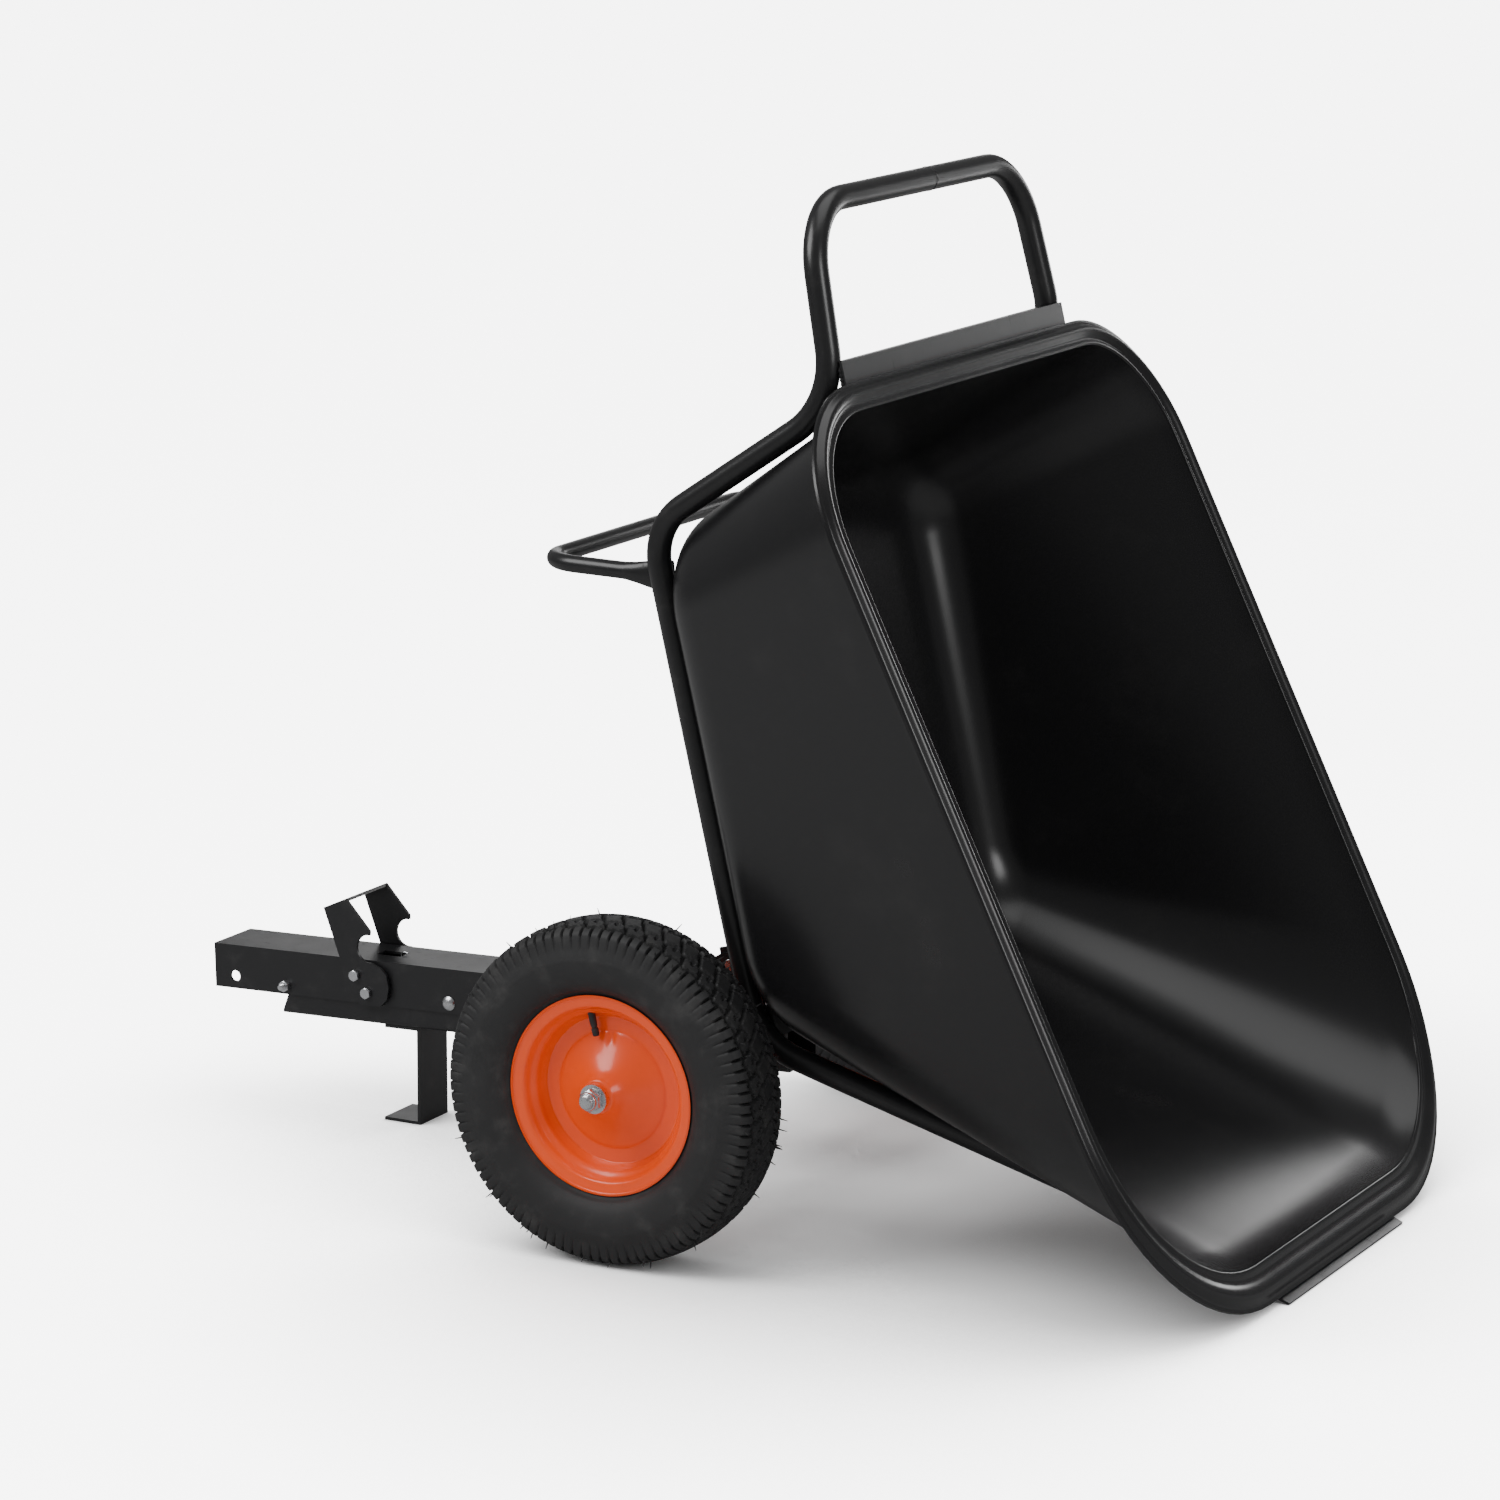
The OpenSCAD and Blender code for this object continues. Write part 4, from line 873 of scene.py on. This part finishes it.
def thread(r, y0, y1, pitch=1.25):
    """A threaded rod along Y: the radius dips by half a pitch on a helix, tapered at the tip."""
    a = np.linspace(0, 2 * math.pi, 36, endpoint=False)
    y = np.linspace(y0, y1, max(8, round(abs(y1 - y0) / pitch * 8)))[:, None]
    dip = 0.5 * pitch * (0.5 + 0.5 * np.cos(2 * math.pi * y / pitch + a))
    tip = np.clip(np.abs(y1 - y) / 1.6, 0, 1)
    radius = (r - dip) * (0.86 + 0.14 * tip)
    radius[0] = radius[-1] = 0.3
    rings = np.stack([radius * np.cos(a), y + 0 * a, radius * np.sin(a)], -1)
    return rings, capped(len(rings), 36)


def rod(r, y0, y1):
    """A plain round shank along Y with lightly broken edges."""
    s = np.sign(y1 - y0) * 0.5
    line = np.array([[0.3, y0], [r - 0.5, y0], [r, y0 + s], [r, y1 - s], [r - 0.5, y1], [0.3, y1]])
    rings = turned(line, 48)
    return rings, capped(6, 48)


def dome(r, rise, y0, way):
    """A domed head on the face y0: a spherical cap of radius r and rise, with a short edge."""
    ball = (r * r + rise * rise) / (2 * rise)
    t = np.linspace(math.asin(r / ball), 0.02, 14)
    line = np.stack([ball * np.sin(t), 0.8 + ball * np.cos(t) - ball + rise], -1)
    line = np.concatenate([[[0.3, 0], [r, 0]], line])
    line[:, 1] = y0 + way * line[:, 1]
    rings = turned(line, 48)
    return rings, capped(len(rings), 48)


def stand_up(shape):
    """A shape made along Y, stood along Z instead."""
    p = np.asarray(shape[0])
    return np.stack([p[..., 0], -p[..., 2], p[..., 1]], -1), shape[1]


def shift(shape, x, y, z):
    return np.asarray(shape[0]) + [x, y, z], shape[1]


def put(shape, at):
    """A shape made about the Y axis, moved to (x, z)."""
    return shift(shape, at[0], 0, at[1])


def fit(parts, place, body):
    """Makes one turned piece for each node of a table of shapes; the tub's bolts are black."""
    for name, shapes in parts.items():
        points, faces = stack(shapes)
        slot, look = ("black_zinc", black_zinc) if name == "tub_bolts" else ("zinc", zinc)
        piece(name + "_turned", place(points), faces, body, look, [name], 32)


# %% Where each fastener sits
HALF_BAR, TOP, STAND_BOLT_X = 41.0, 19.0, -512
BELOW = TOP - 82.0
# Each bolt size: shank radius, width across flats, height of head, height of nut.
M8, M8_FLATS, M8_HEAD, M8_NUT = 4.0, 13, 5.3, 6.8
M12, M12_FLATS, M12_HEAD = 6.0, 19, 7.5
M16, M16_FLATS = 8.0, 24
plate_out = HALF_BAR + 7.4
tip_bolt, carriage = (-666.0, -26.0), (-428.0, -24.5)
pin, anchor = (-542.0, -21.0), (-558.0, 0.0)
lug_in, lug_out = rail_in - 5, rail_in
end_in = lug_in - 9
pin_up = (-5.0, 70.5)
shoulder = half_track + 46


def through(at, y0, y1, r=M8, thread_from=None):
    """A bolt's shank at (x, z) from y0 to y1, threaded beyond thread_from."""
    if thread_from is None:
        return [put(rod(r, y0, y1), at)]
    return [put(rod(r, y0, thread_from), at),
            put(thread(r, thread_from, y1), at)]


def latch_bolt(at):
    y = plate_out + 0.3
    return through(at, -y, y + 11, M8, y) + [put(hexagon(M8_FLATS, -y, -y - M8_HEAD), at)]


def latch_nut(at):
    y = plate_out + 0.3
    return [put(hexagon(M8_FLATS, y, y + M8_NUT, M8), at)]


chassis_parts = {
    "front_bolt": through(tip_bolt, HALF_BAR, -HALF_BAR - 14, M8, -HALF_BAR)
    + [put(hexagon(M8_FLATS, HALF_BAR, HALF_BAR + M8_HEAD), tip_bolt)],
    "front_nut": [put(hexagon(M8_FLATS, -HALF_BAR, -HALF_BAR - 7, M8), tip_bolt)],
    "carriage_bolt": through(carriage, -HALF_BAR, HALF_BAR + 13, M8, HALF_BAR)
    + [put(dome(9.0, 3.7, -HALF_BAR, -1), carriage)],
    "carriage_nut": [put(hexagon(M8_FLATS, HALF_BAR, HALF_BAR + 7, M8), carriage)],
    "latch_pivot_bolt": latch_bolt(pin),
    "latch_pivot_nut": latch_nut(pin),
    "stand_bolt": [shift(stand_up(rod(M8, BELOW - 4, BELOW + 13)), STAND_BOLT_X, 0, 0),
                   shift(stand_up(hexagon(M8_FLATS, BELOW - 4, BELOW - 4 - M8_HEAD)),
                         STAND_BOLT_X, 0, 0)],
    "stand_nut": [shift(stand_up(hexagon(M8_FLATS, BELOW + 3, BELOW + 10, M8)),
                        STAND_BOLT_X, 0, 0)],
    "pivot_bolts": [], "pivot_nuts": [], "lock_nuts": []}
for s in (-1, 1):
    chassis_parts["pivot_bolts"] += through(pin_up, s * end_in, s * (lug_in + 19), M12,
                                            s * lug_out)
    chassis_parts["pivot_bolts"].append(
        put(hexagon(M12_FLATS, s * end_in, s * (end_in - M12_HEAD)), pin_up))
    chassis_parts["pivot_nuts"].append(
        put(hexagon(M12_FLATS, s * (lug_in + 5.6), s * (lug_in + 15.6), M12), pin_up))
    chassis_parts["lock_nuts"].append(
        hexagon(M16_FLATS, s * (shoulder + 3), s * (shoulder + 13.2), M16))
    collar = smooth_line([[8.0, 12.8], [10.6, 12.8], [10.8, 14.6], [10.1, 16.6], [8.6, 17.0],
                          [8.0, 16.6]], 3)
    collar[:, 1] = s * (shoulder + collar[:, 1])
    ring = turned(collar, 64)
    chassis_parts["lock_nuts"].append((ring, quads(len(ring), 64, True, True)))
fit(chassis_parts, chassis, "chassis")
fit({"anchor_bolt": latch_bolt(anchor), "anchor_nut": latch_nut(anchor)}, chassis, "latch")

STRAPS, LUG_BOLT_Z, TUB_BOLT_Y = (-36.3, 36.0), RAIL_UP - 22.1, 110.0
tub_parts = {"strap_bolts": [], "strap_nuts": [], "tub_bolts": [], "tub_nuts": []}
for x in STRAPS:
    for s in (-1, 1):
        at = (x, LUG_BOLT_Z)
        tub_parts["strap_bolts"] += through(at, s * lug_out, s * (lug_in - 15), M8,
                                            s * (lug_in - 5))
        tub_parts["strap_bolts"].append(
            put(hexagon(M8_FLATS, s * lug_out, s * (lug_out + M8_HEAD)), at))
        tub_parts["strap_nuts"].append(
            put(hexagon(M8_FLATS, s * (lug_in - 5), s * (lug_in - 11.8), M8), at))
        y = s * TUB_BOLT_Y
        tub_parts["tub_bolts"].append(
            shift(stand_up(thread(M8, floor_z + WALL, floor_z - 15)), x, y, 0))
        tub_parts["tub_bolts"].append(
            shift(stand_up(dome(11.0, 3.8, floor_z + WALL, 1)), x, y, 0))
        tub_parts["tub_nuts"].append(
            shift(stand_up(hexagon(M8_FLATS, floor_z - 5, floor_z - 11.8, M8)), x, y, 0))
fit(tub_parts, tipped, "tub_body")

# %% [markdown]
# The axle's threaded ends stand out of the lock nuts. They ride with the axle and only cover the
# short plain stub that the model has there.

# %% Axle ends
ends = []
for s in (-1, 1):
    ends.append(thread(8.25, s * (shoulder + 2), s * (shoulder + 21.4), 1.5))
points, faces = stack(ends)
piece("axle_threads", chassis(points), faces, "chassis", zinc)

# %% [markdown]
# ## The latch spring
# A close coil of wire pulls the latch's cross bolt towards a slot in the drawbar's top. The wire
# is a circle carried along a line that is straight, then a helix, then straight, then a hook, so
# the joins need no care. The spring is one fixed piece in place of the model's spring node, hung
# on no body.

# %% Spring
WIRE, COIL, TURNS, COIL_PITCH = 1.2, 4.6, 7.5, 2.45
SLOT_X = -515
ring_t = np.linspace(0.35, 2 * math.pi + 0.2, 40)
eye_r = 4.0 + 1.6
start = np.array([anchor[0] + eye_r, 0, anchor[1] + 3.4])
end = np.array([SLOT_X - 4.5, 0, TOP - 3.5])
way = (end - start) / np.linalg.norm(end - start)
side_a = np.array([0, 1.0, 0])
side_b = np.cross(way, side_a)
t = np.linspace(0, TURNS, round(TURNS * 28))[:, None]
fade = np.clip(np.minimum(t, TURNS - t) / 0.45, 0, 1)
coil = (start + way * (5 + t * COIL_PITCH)
        + COIL * fade * (side_a * np.cos(2 * math.pi * t) + side_b * np.sin(2 * math.pi * t)))
eye = np.stack([anchor[0] + eye_r * np.cos(ring_t), 0 * ring_t,
                anchor[1] + eye_r * np.sin(ring_t)], -1)
hook = smooth_line([end, [SLOT_X - 3, 0, TOP + 2.6], [SLOT_X + 1, 0, TOP + 3.2],
                    [SLOT_X + 4.8, 0, TOP + 2.4]], 6)
wire = np.concatenate([eye[::-1], [start + way * 2], coil, hook])
points = swept(wire, WIRE, around=10)
faces = capped(len(points), 10)
spring = piece("latch_spring_coil", chassis(points), faces, None, zinc,
               ["latch_spring"], 60)
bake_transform(spring)

# %% [markdown]
# ## Studio
# The floor is plain and pale, and runs far past the view. Five soft boxes light the cart: a broad
# key above the left shoulder, one at the camera's right, one at the far side that shines into
# the tub's inner corner, one behind that brightens level sheet, and one overhead. Sky and floor
# are dimmer in reflections, so that black stays black. The floor glows for the camera only, and
# less where something stands close over it: painted soft shadows on a pale ground.

# %% Floor, sky and lights
floor_mesh = bpy.data.meshes.new("floor")
floor_mesh.from_pydata([(-60, -60, 0), (60, -60, 0), (60, 60, 0), (-60, 60, 0)], [],
                       [(0, 1, 2, 3)])
floor = bpy.data.objects.new("floor", floor_mesh)
bpy.context.scene.collection.objects.link(floor)


def by_ray(tree, kind, seen, otherwise):
    """A number that is one value for rays of a kind, and another for all other rays."""
    ray = add(tree, "ShaderNodeLightPath", (-700, 200))
    pick = add(tree, "ShaderNodeMapRange", (-450, 200))
    pick.inputs["To Min"].default_value = otherwise
    pick.inputs["To Max"].default_value = seen
    tree.links.new(ray.outputs[kind], pick.inputs["Value"])
    return pick.outputs["Result"]


pale = bpy.data.materials.new("pale_floor")
pale.use_nodes = True
t = pale.node_tree
base = t.nodes["Principled BSDF"]
base.inputs["Roughness"].default_value = 0.9
base.inputs["Specular IOR Level"].default_value = 0.1
base.inputs["Emission Color"].default_value = (1, 1, 1, 1)
t.links.new(by_ray(t, "Is Glossy Ray", 0.3, 0.9), base.inputs["Base Color"])
# Painted shadow: the floor's camera glow is cut by ambient occlusion cubed, so the floor darkens under and near
# the cart.
painted_shadow_occlusion = add(t, "ShaderNodeAmbientOcclusion", (-700, -200), samples=8, in_Distance=0.9)
painted_shadow_curve = add(t, "ShaderNodeMath", (-450, -200), operation="POWER")
painted_shadow_curve.inputs[1].default_value = 3.0
glow_with_painted_shadow = add(t, "ShaderNodeMath", (-250, -100), operation="MULTIPLY")
join(t, (painted_shadow_occlusion, "AO", painted_shadow_curve, 0), (painted_shadow_curve, 0, glow_with_painted_shadow, 0), (glow_with_painted_shadow, 0, base, "Emission Strength"))
t.links.new(by_ray(t, "Is Camera Ray", 6.0, 0.0), glow_with_painted_shadow.inputs[1])
floor_mesh.materials.append(pale)

world = bpy.data.worlds.new("sky")
bpy.context.scene.world = world
world.use_nodes = True
t = world.node_tree
t.links.new(by_ray(t, "Is Glossy Ray", 0.2, 0.6), t.nodes["Background"].inputs["Strength"])
t.nodes["Background"].inputs["Color"].default_value = (1, 1, 1, 1)


def soft_box(name, at, towards, size, power):
    """A rectangular area light at a point, turned to face another."""
    light = bpy.data.lights.new(name, "AREA")
    light.shape = "RECTANGLE"
    light.size, light.size_y = size
    light.energy = power
    lamp = bpy.data.objects.new(name, light)
    lamp.location = at
    lamp.visible_camera = False
    lamp.rotation_euler = (Vector(towards) - Vector(at)).to_track_quat("-Z", "Y").to_euler()
    bpy.context.scene.collection.objects.link(lamp)


soft_box("key", (-2.2, -2.6, 3.6), (0, 0, 0.4), (2.6, 2.6), 150)
soft_box("strip", (3.6, -1.2, 2.2), (0.2, 0, 0.6), (1.3, 1.6), 45)
soft_box("side", (0.62, 2.5, 0.95), (0.2, -0.2, 0.85), (0.7, 1.2), 13)
soft_box("back", (-2.3, 4.2, 1.7), (-0.5, 0, 0.25), (2.4, 1.0), 14)
soft_box("top", (0.6, 0.6, 4.2), (0.2, 0, 0.4), (3.0, 3.0), 50)
